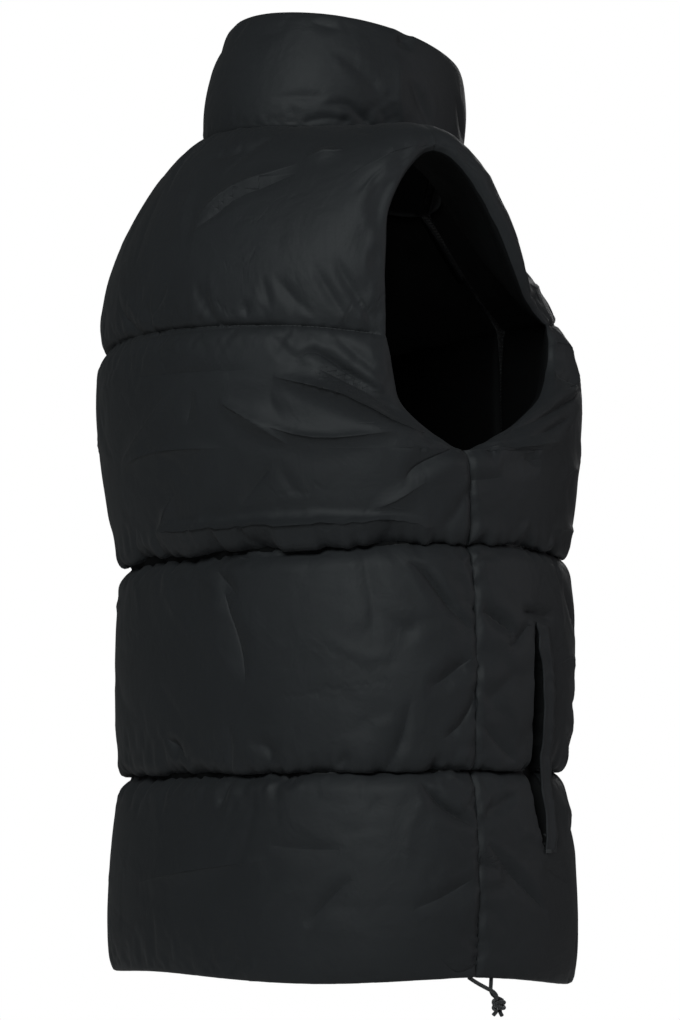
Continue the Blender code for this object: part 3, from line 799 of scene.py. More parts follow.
def shell_nylon():
    """Satin nylon: fine threads, a faint crinkle and slack puckers all over, a soft shine."""
    material, tree, shader = new_finish("shell_nylon", Specular_IOR_Level=0.22, Sheen_Weight=0.03)
    place = add_node(tree, "ShaderNodeTexCoord").outputs["Object"]

    def noise(scale, **inputs):
        given = {"Vector": place, "Scale": scale, **inputs}
        return add_node(tree, "ShaderNodeTexNoise", given).outputs["Fac"]

    drift = noise(14.0, Detail=2.0)
    slack = noise(34.0, Detail=3.0, Roughness=0.5, Distortion=0.6)
    grain = noise(260.0, Detail=3.0, Roughness=0.55, Distortion=0.4)
    cloth = add_node(tree, "ShaderNodeUVMap", uv_map="cloth").outputs["UV"]

    bent = add_node(tree, "ShaderNodeTexNoise", {"Vector": cloth, "Scale": 24.0, "Detail": 0.0})
    bent = add_node(tree, "ShaderNodeVectorMath",
                    {0: bent.outputs["Color"], 1: (CREASE_WANDER, CREASE_WANDER, 0.0)},
                    operation="MULTIPLY")
    bent = add_node(tree, "ShaderNodeVectorMath", {0: bent.outputs[0], 1: cloth}, operation="ADD")
    tilted = add_node(tree, "ShaderNodeMapping", {
        "Vector": bent.outputs[0], "Rotation": (0.0, 0.0, CREASE_TILT), "Scale": CREASE_CELLS})
    cells = add_node(tree, "ShaderNodeTexVoronoi", {"Vector": tilted.outputs[0], "Scale": 1.0},
                     voronoi_dimensions="2D", feature="DISTANCE_TO_EDGE")
    line = add_node(tree, "ShaderNodeMapRange", {
        "Value": cells.outputs["Distance"], "From Max": CREASE_LINE, "To Min": -1.0, "To Max": 0.0},
        interpolation_type="SMOOTHSTEP")
    shown = add_node(tree, "ShaderNodeMapRange", {
        "Value": noise(11.0, Detail=1.0), "From Min": 0.54, "From Max": 0.66})
    crease = calculate(tree, "MULTIPLY", line.outputs["Result"], shown.outputs["Result"])

    threads = add_node(tree, "ShaderNodeSeparateXYZ", {"Vector": cloth})
    waves = [calculate(tree, "SINE",
                       calculate(tree, "MULTIPLY", threads.outputs[axis], math.tau / WEAVE))
             for axis in ("X", "Y")]
    weave = calculate(tree, "MULTIPLY", *waves)

    apart, depth = (add_node(tree, "ShaderNodeAttribute", attribute_name=word).outputs["Fac"]
                    for word in ("fold_distance", "fold_depth"))
    softer = calculate(tree, "GREATER_THAN", apart, 0.0)
    broad = calculate(tree, "MULTIPLY_ADD", softer, EDGE_SOFT - EDGE_SHARP, EDGE_SHARP)
    drop = calculate(tree, "DIVIDE", calculate(tree, "ABSOLUTE", apart), broad)
    drop = calculate(tree, "EXPONENT", calculate(tree, "MULTIPLY", drop, -1.0))
    edge = calculate(tree, "MULTIPLY", calculate(tree, "MULTIPLY", drop, depth), -1.0)

    normal = None
    for height, strength, distance in (
            (slack, 0.4, 0.0034), (edge, 1.0, EDGE_SHARE), (crease, 0.5, 0.0005),
            (grain, 0.30, 0.0004), (weave, 0.25, 0.00004)):
        bump = add_node(tree, "ShaderNodeBump",
                        {"Strength": strength, "Distance": distance, "Height": height})
        if normal:
            tree.links.new(normal, bump.inputs["Normal"])
        normal = bump.outputs["Normal"]
    tree.links.new(normal, shader.inputs["Normal"])
    rough = calculate(tree, "MULTIPLY_ADD", drift, SHELL_DRIFT, SHELL_ROUGHNESS)
    tree.links.new(rough, shader.inputs["Roughness"])
    tint = calculate(tree, "MULTIPLY_ADD", drift, 0.3, 0.85)
    colour = add_node(tree, "ShaderNodeVectorMath", {0: NYLON, 1: tint}, operation="MULTIPLY")
    tree.links.new(colour.outputs[0], shader.inputs["Base Color"])
    return material


# Black lining cloth, set far darker than the shell so that the insides of the armholes and the
# pocket mouths read black: partly painted shade.
LINING_AND_SHADE = (0.004, 0.0042, 0.0045)


def lining_taffeta():
    """Plain black taffeta, a little duller than the shell and far darker, in part as painted shade.
    """
    material, tree, shader = new_finish("lining_taffeta", Specular_IOR_Level=0.08)
    place = add_node(tree, "ShaderNodeTexCoord").outputs["Object"]
    crinkle = add_node(tree, "ShaderNodeTexNoise", {"Vector": place, "Scale": 60.0, "Detail": 4.0})
    bump = add_node(tree, "ShaderNodeBump", {"Strength": 0.6, "Distance": 0.0012,
                                             "Height": crinkle.outputs["Fac"]})
    tree.links.new(bump.outputs["Normal"], shader.inputs["Normal"])
    rough = calculate(tree, "MULTIPLY_ADD", crinkle.outputs["Fac"], 0.15, 0.62)
    tree.links.new(rough, shader.inputs["Roughness"])
    # The crinkle's raised parts are coloured lighter and its dips darker: painted light and shade.
    tint = calculate(tree, "MULTIPLY_ADD", crinkle.outputs["Fac"], 0.4, 0.8)
    colour = add_node(tree, "ShaderNodeVectorMath", {0: LINING_AND_SHADE, 1: tint}, operation="MULTIPLY")
    tree.links.new(colour.outputs[0], shader.inputs["Base Color"])
    return material


panel_finishes = shell_nylon(), lining_taffeta()
QUILT_PULL = 0.020       # the cloth is loosest this close to a quilt line
SLACK_MEAN, SLACK_SWING = 0.6, 0.4
HEM_ROLL, ARMHOLE_ROLL = 0.5, 0.6
EDGE_STITCH = 2          # columns between the zip and the row of stitches beside it
LINING_FOLDS = 60
LINING_DEEPER, LINING_BROADER = 1.6, 1.4      # than the shell's stray folds
CRISP_WIDTH, CRISP_DEPTH = 0.00305, 0.0017    # lesser folds are drawn by their own form alone

quilt_rows, zip_rows, fronts = [], [], []     # the shells' points, for the stitches


def uneven_slack(distance, reach, turn, waves, start=0):
    """How much looser than its cut the cloth is, in patches, and less with distance."""
    patches = np.sin(turn * waves[0]) * np.sin(turn * waves[1] + start)
    return np.exp(-distance / reach) * (SLACK_MEAN + SLACK_SWING * patches)


def make_panel(name, across, parts, folds, opening=None):
    """A quilted panel: its padded wall, settled under its filling, then its own folds."""
    levels = panel_levels()
    turn, fullness = across(levels[:, None], parts)
    level = np.broadcast_to(levels[:, None], turn.shape)
    outer, inner, _ = wall(turn, level, fullness)
    move = np.zeros_like(outer)
    sewn = np.isin(level, range(NECK + 1))
    sewn[:, [0, -1]] = True
    to_line = np.abs(level - np.round(level)) / GRAIN[1]
    move = settle(outer, sewn, uneven_slack(to_line, QUILT_PULL, turn, (0.31, 0.173), 1))
    turn, fullness = across(split_steps(levels)[:, None], split_steps(parts))
    level = np.broadcast_to(split_steps(levels)[:, None], turn.shape)
    shell, _, away = wall(turn, level, fullness)
    shell += split_grid(move)
    base = body(turn, level)
    marks = np.full(level.shape, NO_FOLD), np.zeros(level.shape), np.zeros(level.shape)
    for fold in folds:
        crisp = fold.width > CRISP_WIDTH and abs(fold.depth) > CRISP_DEPTH
        press(shell, base, away, turn, level, body, fold, marks if crisp else None)
    hang_over(shell, away, turn, level, len(folds))
    bare = opening(shell, base, away, turn, level) if opening else np.zeros(level.shape, bool)
    for line in range(1, NECK):
        row = np.flatnonzero(level[:, 0] == line)[0]
        quilt_rows.append((shell[row][~bare[row]], away[row][~bare[row]]))
    beside = np.abs(shell[..., 0]).mean(0).argsort()[EDGE_STITCH]
    if opening:
        zip_rows.append((shell[:, beside], away[:, beside]))
        fronts.append((shell, away, turn, level))
    coarse = across(levels[:, None], parts)[0]
    low = np.broadcast_to(levels[:, None], coarse.shape)
    middle, inward = body(coarse, low), -outward(body, coarse, low)
    for fold in stray_folds(LINING_FOLDS, coarse.min(), coarse.max(), len(parts)):
        fold = fold._replace(depth=fold.depth * LINING_DEEPER, width=fold.width * LINING_BROADER)
        press(inner, middle, inward, coarse, low, body, fold)
    roll = np.zeros(level.shape)
    roll[0] = HEM_ROLL
    turned = (level > UNDERARM) & (level < ARMHOLE_TIP)
    turned[:, 1:-1] = False
    turned[:, 0 if parts[0] else -1] &= True
    roll[turned] = ARMHOLE_ROLL
    panel = sew_up(name, shell, inner, roll, panel_finishes, bare, marks)
    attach(panel, "vest")
    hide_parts(name)
    return panel


# The back's own folds, from the top channel down. Those of its right half come back, changed a
# little, on its left.
BACK_FOLDS = (
    Fold(((19, 3.48), (30, 3.59), (42, 3.62), (51, 3.63)), -0.0030, 0.0047),
    Fold(((20, 3.43), (31, 3.54), (43, 3.575), (51, 3.59)), 0.0024, 0.0032),
    Fold(((27, 3.67), (32, 3.77), (42, 3.84)), 0.0023, 0.0043),
    Fold(((53, 3.65), (60, 3.63), (64, 3.61)), -0.0042, 0.0034),
    Fold(((12, 3.76), (39, 3.79)), 0.0019, 0.0043),
    Fold(((58, 3.26), (62, 3.15), (67, 3.04)), 0.0027, 0.0024),
    Fold(((53, 3.24), (57, 3.13), (61, 3.04)), 0.0024, 0.0024),
    Fold(((44, 3.20), (48, 3.12), (53, 3.05)), 0.0028, 0.0030),
    Fold(((41, 3.20), (43, 3.06)), 0.0018, 0.0024),
    Fold(((36, 3.11), (37, 3.04)), 0.0029, 0.0026),
    Fold(((13, 3.20), (6, 3.08)), 0.0031, 0.0026),
    Fold(((5, 3.14), (5, 3.01)), 0.0019, 0.0026),
    Fold(((29, 2.67), (38, 2.57), (45, 2.46)), -0.0047, 0.0051),
    Fold(((33, 2.61), (51, 2.49), (70, 2.52)), -0.0042, 0.0051),
    Fold(((43, 2.77), (57, 2.70), (62, 2.65), (71, 2.56), (78, 2.52)), -0.0076, 0.0047),
    Fold(((53, 2.81), (62, 2.72), (73, 2.60)), 0.0042, 0.0032),
    Fold(((43.5, 2.76), (42, 2.68), (43, 2.59)), 0.0013, 0.0040),
    Fold(((-1, 2.81), (39, 2.80)), 0.0023, 0.0051),
    Fold(((17, 2.76), (5, 2.60), (-11, 2.44)), -0.0028, 0.0055),
    Fold(((-12, 2.40), (-3, 2.45), (12, 2.47), (29, 2.46)), -0.0028, 0.0047),
    Fold(((22, 2.72), (19, 2.58)), 0.0019, 0.0034),
    Fold(((48, 2.84), (53, 2.88), (60, 2.79), (69, 2.68)), 0.0040, 0.0031),
    Fold(((42, 2.97), (46, 2.89), (51, 2.80)), 0.0022, 0.0028),
    Fold(((58, 2.96), (64, 2.86), (69, 2.76)), 0.0024, 0.0028),
    Fold(((42, 2.37), (44, 2.28), (47, 2.22)), 0.0016, 0.0028),
    Fold(((31, 2.20), (40, 2.36)), 0.0019, 0.0043),
    Fold(((1, 2.09), (11, 2.27)), -0.0034, 0.0043),
    Fold(((-4, 2.09), (4, 2.12), (29, 2.11), (47, 2.115), (69, 2.10), (78, 2.08)),
         -0.0080, 0.0050, 1.0),
    Fold(((30, 2.10), (34, 2.01), (36, 1.98)), 0.0042, 0.0026),
    Fold(((86, 2.46), (74, 2.36), (70, 2.28)), 0.0036, 0.0040),
    Fold(((88, 2.40), (79, 2.32), (73, 2.25)), -0.0017, 0.0060),
    Fold(((61, 2.14), (68, 2.19), (76, 2.28)), -0.0020, 0.0036),
    Fold(((79, 2.07), (84, 2.15), (88, 2.26)), 0.0026, 0.0028),
    Fold(((70, 1.91), (74, 1.85), (81, 1.69), (87, 1.60)), 0.0046, 0.0032),
    Fold(((82, 1.75), (86, 1.71), (90, 1.68)), 0.0024, 0.0024),
    Fold(((21, 1.92), (28, 1.79)), 0.0031, 0.0034),
    Fold(((23, 1.86), (28, 1.60), (30, 1.41)), 0.0029, 0.0059),
    Fold(((63, 1.69), (67, 1.63), (72, 1.58)), 0.0016, 0.0036),
    Fold(((78, 1.13), (84, 1.21), (88, 1.32)), 0.0032, 0.0031),
    Fold(((74, 1.35), (80, 1.41), (87, 1.49)), 0.0026, 0.0034),
    Fold(((30, 1.15), (35, 1.12), (35, 1.04)), 0.0031, 0.0030),
    Fold(((51, 1.04), (55, 1.09)), 0.0031, 0.0026),
    Fold(((2, 1.17), (10, 1.08)), 0.0042, 0.0034),
    Fold(((72, 0.94), (79, 0.81), (88, 0.72)), 0.0044, 0.0032),
    Fold(((-7, 0.44), (17, 0.52), (36, 0.58)), -0.0029, 0.0068),
    Fold(((45, 0.26), (51, 0.41), (56, 0.50)), 0.0022, 0.0043),
    Fold(((70, 0.33), (79, 0.40), (87, 0.48)), 0.0022, 0.0034),
    Fold(((36, 0.65), (53, 0.63)), 0.0019, 0.0051),
    Fold(((22, 0.98), (23, 0.94), (21, 0.83)), 0.0034, 0.0030),
)
BACK_GATHERS = (
    Gathers((-60, 4.0), (60, 4.0), -1, 0.009, 0.007, 0.0010, 0.0018, 0.0),
    Gathers((-60, 4.0), (60, 4.0), -1, 0.034, 0.026, 0.0014, 0.0026, 0.3),
    Gathers((-70, 3.0), (70, 3.0), 1, 0.007, 0.006, 0.0010, 0.0016, -0.2),
    Gathers((-70, 3.0), (70, 3.0), -1, 0.008, 0.006, 0.0010, 0.0016, 0.2),
    Gathers((-70, 3.0), (70, 3.0), 1, 0.024, 0.030, 0.0018, 0.0028, -0.4),
    Gathers((-70, 3.0), (70, 3.0), -1, 0.036, 0.026, 0.0014, 0.0028, 0.3),
    Gathers((-90, 2.0), (90, 2.0), 1, 0.017, 0.015, 0.0015, 0.0022, 0.7),
    Gathers((-90, 2.0), (90, 2.0), 1, 0.024, 0.030, 0.0015, 0.0030, 0.9),
    Gathers((-90, 2.0), (90, 2.0), -1, 0.006, 0.006, 0.0013, 0.0018, 0.2),
    Gathers((-90, 2.0), (90, 2.0), -1, 0.032, 0.032, 0.0010, 0.0030, 0.4),
    Gathers((-90, 1.0), (90, 1.0), 1, 0.006, 0.007, 0.0022, 0.0018, 0.2),
    Gathers((-90, 1.0), (90, 1.0), 1, 0.026, 0.030, 0.0020, 0.0030, 0.3),
    Gathers((-90, 1.0), (90, 1.0), -1, 0.006, 0.006, 0.0018, 0.0018, -0.2),
    Gathers((-90, 1.0), (90, 1.0), -1, 0.028, 0.032, 0.0014, 0.0030, -0.4),
    Gathers((-90, 0.0), (90, 0.0), 1, 0.014, 0.009, 0.0008, 0.0020, 0.0),
    Gathers((88.5, 0.05), (88.5, 2.3), 1, 0.009, 0.008, 0.0014, 0.0018, 0.0),
    Gathers((-88.5, 0.05), (-88.5, 2.3), -1, 0.009, 0.008, 0.0014, 0.0018, 0.0),
    Gathers((88.5, 0.05), (88.5, 2.3), 1, 0.026, 0.032, 0.0018, 0.0030, 0.3),
    Gathers((-88.5, 0.05), (-88.5, 2.3), -1, 0.026, 0.032, 0.0018, 0.0030, -0.3),
)


MIRROR_SHIFT, MIRROR_LIFT = 3, 0.03    # most that a mirrored fold is moved: degrees and levels
MIRROR_DEPTH, MIRROR_WIDTH = (0.7, 1.1), (0.8, 1.2)
PAST_MIDDLE = 44         # the turn from which the back's folds are mirrored


def other_side(folds, seed, past=20):
    """Like folds for the opposite side: mirrored, each moved and changed a little."""
    draw = np.random.default_rng(seed)
    mirrored = []
    for fold in folds:
        if np.mean([turn for turn, _ in fold.spots]) < past:
            continue
        shift = draw.uniform(-MIRROR_SHIFT, MIRROR_SHIFT)
        lift = draw.uniform(-MIRROR_LIFT, MIRROR_LIFT)
        spots = [(-turn + shift, level + lift) for turn, level in fold.spots]
        depth = fold.depth * draw.uniform(*MIRROR_DEPTH)
        width = fold.width * draw.uniform(*MIRROR_WIDTH)
        mirrored.append(fold._replace(spots=spots, depth=depth, width=width))
    return mirrored


# Its quilt lines and its side seams are drawn in.
SEAM_FOLDS = (
    Fold(((-95, 1.995), (-30, 1.99), (30, 1.995), (95, 1.995)), 0.0046, 0.0046, 0.0, 0.0, 0.0),
    Fold(((-66, 1.97), (-20, 1.975), (30, 1.965), (62, 1.98)), 0.0046, 0.0050, 0.0, 0.4, 0.4),
    Fold(((-95, 0.995), (-30, 0.99), (30, 0.995), (95, 0.995)), 0.0042, 0.0042, 0.0, 0.0, 0.0),
    Fold(((-50, 0.975), (0, 0.98), (44, 0.975)), 0.0030, 0.0042, 0.0, 0.4, 0.4),
    Fold(((-72, 2.99), (-30, 2.985), (12, 2.985), (46, 2.995)), 0.0030, 0.0036, 0.0, 0.4, 0.4),
    Fold(((88.5, 0.0), (88.5, 1.2), (88.5, 2.44)), 0.0019, 0.0016, 0.0, 0.0, 0.0),
    Fold(((-88.5, 0.0), (-88.5, 1.2), (-88.5, 2.44)), 0.0019, 0.0016, 0.0, 0.0, 0.0),
)
BACK_STRAYS = 150
back_folds = [*BACK_FOLDS, *other_side(BACK_FOLDS, 3, PAST_MIDDLE), *SEAM_FOLDS,
              *stray_folds(BACK_STRAYS, -86, 86, 5)]
for seed, gathers in enumerate(BACK_GATHERS):
    back_folds += gather_folds(gathers, seed)
make_panel("back_panel", across_back, np.linspace(-1, 1, BACK_COLUMNS + 1), back_folds)


# --- front panels -----------------------------------------------------------------------------
# Each front is cut in one piece like the back, from its side and shoulder seams to the zip, and
# quilted on the same three lines. Its pocket opens behind a welt near the side seam.

ZIP_EDGE = 0.0075
NEAR_ZIP_TURN = 178.0
FRONT_COLUMNS = 54


def zip_turn(surface, place):
    """Turn at which a surface comes to the zip's edge, read off a point near the zip."""
    near = surface(np.full(np.shape(place), NEAR_ZIP_TURN), place)
    return 180 - (180 - NEAR_ZIP_TURN) * ZIP_EDGE / np.abs(near[..., 0])


def front_limits(level):
    return side_edge(level, front_edge) + seam_clearance(level, front_edge), zip_turn(body, level)


CHEST_TURN, CHEST_LEVEL = 148.0, 2.75
CHEST_WIDTH, CHEST_HEIGHT = 24.0, 0.30
CHEST_LOFT = 0.45        # how much fuller the chest is than the rest


def front_fullness(turn, level):
    to_zip = taper(np.abs(body(turn, level)[..., 0]) - ZIP_EDGE + SEAM_START / 2, SEAM_TAPER)
    across, up = (np.abs(turn) - CHEST_TURN) / CHEST_WIDTH, (level - CHEST_LEVEL) / CHEST_HEIGHT
    chest = 1 + CHEST_LOFT * np.exp(-across**2 - up**2)
    return side_taper(turn, level, front_edge) * to_zip * chest


def across_front(side):
    """Turns and fullness on a front; its parts run the way that the turns grow."""
    def place(level, part):
        level, part = np.broadcast_arrays(level, part)
        start, finish = front_limits(level)
        turn = start + (part if side > 0 else 1 - part) * (finish - start)
        return side * turn, front_fullness(turn, level)
    return place


WELT_TURNS, WELT_LOW, WELT_HIGH = 4.6, 0.61, 1.65
WELT_BRIDGE = 0.55       # of the loft, where it crosses the quilt line

FRONT_FOLDS = (
    Fold(((96, 2.54), (106, 2.55), (121, 2.62), (140, 2.72)), 0.0050, 0.0043),
    Fold(((105, 2.49), (116, 2.53), (128, 2.60)), 0.0030, 0.0034),
    Fold(((96, 2.46), (108, 2.46), (120, 2.48)), -0.0033, 0.0051),
    Fold(((105, 2.41), (111, 2.35)), 0.0018, 0.0034),
    Fold(((90, 1.69), (95, 1.65), (102, 1.58)), 0.0040, 0.0031),
    Fold(((98, 1.53), (102, 1.57), (106, 1.65)), 0.0026, 0.0031),
    Fold(((91, 1.73), (93, 1.69), (96, 1.66)), 0.0018, 0.0024),
    Fold(((90, 1.29), (96, 1.35), (102, 1.45)), 0.0018, 0.0028),
    Fold(((91, 0.65), (99, 0.49), (111, 0.31)), 0.0038, 0.0032),
    Fold(((90, 0.80), (96, 0.83), (103, 0.89)), 0.0022, 0.0028),
    Fold(((110, 0.54), (125, 0.46)), 0.0025, 0.0051),
    Fold(((90, 1.20), (95, 1.13), (102, 1.06)), 0.0028, 0.0031),
    Fold(((103, 1.705), (109, 1.69), (117, 1.69)), 0.0052, 0.0020),
    Fold(((118, 2.10), (128, 2.12), (138, 2.11)), -0.0030, 0.0051),
    Fold(((126, 2.84), (133, 2.75), (141, 2.70)), 0.0026, 0.0036),
    Fold(((128, 2.95), (136, 2.91), (142, 2.86)), -0.0024, 0.0043),
    Fold(((150, 2.55), (160, 2.42), (171, 2.38)), 0.0030, 0.0043),
    Fold(((120, 2.30), (129, 2.37), (138, 2.36)), -0.0020, 0.0051),
    Fold(((165, 2.80), (172, 2.66)), 0.0026, 0.0034),
    Fold(((122, 3.15), (131, 3.23), (140, 3.22)), -0.0022, 0.0043),
    Fold(((112, 3.40), (124, 3.47), (136, 3.44)), 0.0026, 0.0043),
    Fold(((150, 3.60), (160, 3.45), (172, 3.40)), 0.0025, 0.0043),
    Fold(((100, 3.62), (110, 3.70), (120, 3.72)), -0.0025, 0.0043),
    Fold(((140, 3.12), (144, 3.04)), 0.0025, 0.0026),
    Fold(((158, 3.16), (156, 3.05)), 0.0030, 0.0030),
    Fold(((124, 1.84), (132, 1.72), (142, 1.66)), 0.0026, 0.0043),
    Fold(((118, 1.48), (128, 1.53), (138, 1.49)), -0.0020, 0.0059),
    Fold(((152, 1.30), (162, 1.42), (172, 1.44)), 0.0030, 0.0043),
    Fold(((126, 1.20), (136, 1.14), (141, 1.05)), 0.0026, 0.0034),
    Fold(((166, 1.78), (173, 1.70)), 0.0030, 0.0034),
    Fold(((128, 0.78), (140, 0.70), (150, 0.72)), 0.0025, 0.0051),
    Fold(((143, 0.36), (156, 0.44), (168, 0.40)), -0.0025, 0.0059),
    Fold(((160, 0.88), (168, 0.78), (174, 0.74)), 0.0030, 0.0034),
    Fold(((130, 0.10), (138, 0.28)), 0.0021, 0.0043),
    Fold(((119, 1.0), (135, 1.0), (150, 1.0), (168, 1.0)), 0.0050, 0.0120, 0.0, 0.5, 0.5),
)
FRONT_SEAM_FOLDS = (
    Fold(((88, 1.995), (120, 1.99), (150, 1.995), (182, 1.995)), 0.0036, 0.0040, 0.0, 0.0, 0.0),
    Fold(((88, 0.995), (120, 0.99), (150, 0.995), (182, 0.995)), 0.0030, 0.0036, 0.0, 0.0, 0.0),
    Fold(((88.5, 0.0), (88.5, 1.2), (88.5, 2.44)), 0.0019, 0.0016, 0.0, 0.0, 0.0),
)
# The pocket's mouth gapes a little: its middle's turn and half its width in degrees, by level.
Mouth = namedtuple("Mouth", "level turn half")
MOUTH = (
    Mouth(0.62, 111.6, 0.0),
    Mouth(0.68, 111.4, 1.3),
    Mouth(0.80, 111.0, 2.0),
    Mouth(1.00, 110.4, 2.3),
    Mouth(1.14, 110.4, 2.0),
    Mouth(1.22, 110.0, 2.1),
    Mouth(1.40, 109.6, 2.0),
    Mouth(1.48, 109.2, 1.6),
    Mouth(1.54, 108.5, 1.0),
    Mouth(1.60, 108.7, 0.6),
    Mouth(1.635, 108.4, 0.0),
)
MOUTH_FLOOR = -0.0008    # of the pocket bag behind the mouth, from the middle of the wall
MOUTH_LIP = 0.25         # degrees over which its edge turns in
MOUTH_STEEPNESS = 4      # of that edge
LEAST_MOUTH = 0.02       # half width in degrees at which it has closed


def open_mouth(points, base, away, turn, level):
    """Let the pocket's bag show between its two edges, under the front's own height."""
    turn = np.abs(turn)
    levels, middles, halves = zip(*MOUTH)
    half = np.interp(level, levels, halves)
    beyond = (np.abs(turn - np.interp(level, levels, middles)) - half) / MOUTH_LIP
    share = 1 / (1 + np.exp(np.clip(beyond * MOUTH_STEEPNESS, -30, 30)))
    share = np.where(half > LEAST_MOUTH, share, 0)
    sunk = base + away * MOUTH_FLOOR
    points += (sunk - points) * share[..., None]
    return share > 0.15


FRONT_GATHERS = (
    Gathers((110, 4.0), (176, 4.0), -1, 0.009, 0.007, 0.0010, 0.0018, 0.0),
    Gathers((128, 3.0), (178, 3.0), 1, 0.007, 0.007, 0.0012, 0.0016, -0.2),
    Gathers((134, 3.0), (178, 3.0), 1, 0.026, 0.028, 0.0016, 0.0028, -0.3),
    Gathers((132, 3.0), (178, 3.0), -1, 0.008, 0.007, 0.0012, 0.0016, 0.2),
    Gathers((92, 2.0), (178, 2.0), 1, 0.010, 0.014, 0.0022, 0.0020, 0.6),
    Gathers((92, 2.0), (178, 2.0), 1, 0.024, 0.026, 0.0018, 0.0030, 0.3),
    Gathers((92, 2.0), (178, 2.0), -1, 0.006, 0.007, 0.0020, 0.0018, 0.2),
    Gathers((92, 2.0), (178, 2.0), -1, 0.022, 0.032, 0.0020, 0.0030, 0.3),
    Gathers((92, 1.0), (178, 1.0), 1, 0.006, 0.007, 0.0018, 0.0018, 0.2),
    Gathers((92, 1.0), (178, 1.0), 1, 0.026, 0.028, 0.0018, 0.0030, 0.2),
    Gathers((92, 1.0), (178, 1.0), -1, 0.006, 0.006, 0.0018, 0.0018, -0.2),
    Gathers((92, 1.0), (178, 1.0), -1, 0.026, 0.032, 0.0018, 0.0030, -0.3),
    Gathers((92, 0.0), (178, 0.0), 1, 0.014, 0.009, 0.0008, 0.0020, 0.0),
    Gathers((88.5, 0.05), (88.5, 2.3), -1, 0.009, 0.008, 0.0014, 0.0018, 0.0),
    Gathers((88.5, 0.05), (88.5, 2.3), -1, 0.022, 0.028, 0.0020, 0.0030, 0.0),
    Gathers((177.5, 0.05), (177.5, 3.95), 1, 0.012, 0.010, 0.0014, 0.0020, 0.0),
    Gathers((177.5, 0.05), (177.5, 3.95), 1, 0.030, 0.024, 0.0016, 0.0030, 0.0),
    Gathers((110, 0.66), (110, 1.60), 1, 0.016, 0.016, 0.0016, 0.0026, 0.0),
)


FRONT_STRAYS = 80


def mirror_turns(folds):
    return [fold._replace(spots=[(-turn, level) for turn, level in fold.spots]) for fold in folds]


for word, side in (("right", 1), ("left", -1)):
    folds = list(FRONT_FOLDS)
    if side < 0:
        folds = mirror_turns(other_side(FRONT_FOLDS, 11))
    folds += [*FRONT_SEAM_FOLDS, *stray_folds(FRONT_STRAYS, 91, 176, 9 + side)]
    for seed, gathers in enumerate(FRONT_GATHERS):
        folds += gather_folds(gathers, 40 + 20 * side + seed)
    if side < 0:
        folds = mirror_turns(folds)
    parts = np.linspace(0, 1, FRONT_COLUMNS + 1)
    make_panel(f"front_panel_{word}", across_front(side), parts, folds, open_mouth)


# --- pocket welts -----------------------------------------------------------------------------
# A folded strip of the shell cloth stands along each pocket's mouth. It is sewn to the front
# along its far edge and at both ends, where a bartack holds it.

WELT_ROWS, WELT_COLUMNS = 48, 6
WELT_WAVES = 14          # radians in a step of level, of the longest of its waves
WELT_CROWN, CROWN_PLACE, CROWN_WIDTH = 0.0024, 0.62, 0.30
WELT_FLAT, WELT_PUCKER, WELT_END = 0.0010, 0.0010, 0.06
WELT_UNDER = 0.0006      # how far its underside sinks into the front's padding
WELT_ROLL = 0.6


def make_welt(word, side):
    """One folded strip along a pocket's mouth, with its rolled edge and its puckers."""
    levels = np.linspace(WELT_LOW, WELT_HIGH, WELT_ROWS + 1)
    parts = np.linspace(0, 1, WELT_COLUMNS + 1)
    draw = np.random.default_rng(70 + side)
    waves = draw.uniform(0, math.tau, 6)

    def strip(levels, parts):
        level, part = np.broadcast_arrays(levels[:, None], parts)
        place = level * WELT_WAVES
        wander = 0.15 * np.sin(place * 1.1 + waves[0]) + 0.12 * np.sin(place * 2.7 + waves[1])
        far_lip = [row.turn + row.half for row in MOUTH]
        start = np.interp(level, [row.level for row in MOUTH], far_lip)
        turn = start + WELT_TURNS * part + wander * (1 - part)
        fullness = front_fullness(turn, level)
        outer, _, away = wall(side * turn, level, fullness)
        raised = ((outer - body(side * turn, level)) * away).sum(-1)
        bridge = SEAM_WALL / 2 + WELT_BRIDGE * CHANNELS[0].loft_out * fullness - raised
        outer = outer + away * np.maximum(bridge, 0)[..., None]
        pucker = 0.5 + 0.5 * np.sin(place * 4.4 + waves[2] + 1.4 * np.sin(place * 1.7 + waves[3]))
        ends = taper(np.minimum(level - WELT_LOW, WELT_HIGH - level), WELT_END)
        crown = WELT_CROWN * np.exp(-((part - CROWN_PLACE) / CROWN_WIDTH) ** 2)
        height = WELT_FLAT + (crown - WELT_PUCKER * pucker * part) * ends
        return outer + away * (SEAM_GAP + height)[..., None], outer - away * WELT_UNDER

    if side < 0:
        parts = parts[::-1]
    over, _ = strip(split_steps(levels), split_steps(parts))
    _, under = strip(levels, parts)
    roll = np.full(over.shape[:2], WELT_ROLL)
    piece = sew_up(f"pocket_welt_{word}", over, under, roll, panel_finishes)
    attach(piece, "vest")
    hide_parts(f"pocket_welt_{word}")


for word, side in (("right", 1), ("left", -1)):
    make_welt(word, side)


# --- collar -----------------------------------------------------------------------------------
# A stand collar of shell on both sides with thin filling, folded over at its rim, sewn into the
# neck seam and closed by the top of the zip.

COLLAR_LOFT, COLLAR_BULGE = 0.005, 0.004
RIM_HALF_WIDTH, RIM_HALF_DEPTH, RIM_MIDDLE = 0.077, 0.081, -0.004
RIM_HEIGHTS = (0.086, 0.082, 0.071, 0.054, 0.042)
COLLAR_ROWS, COLLAR_COLUMNS = 18, 108
RIM_ROLL = 0.8
COLLAR_PULL = 0.3        # of its height, over which its cloth is looser towards the neck seam

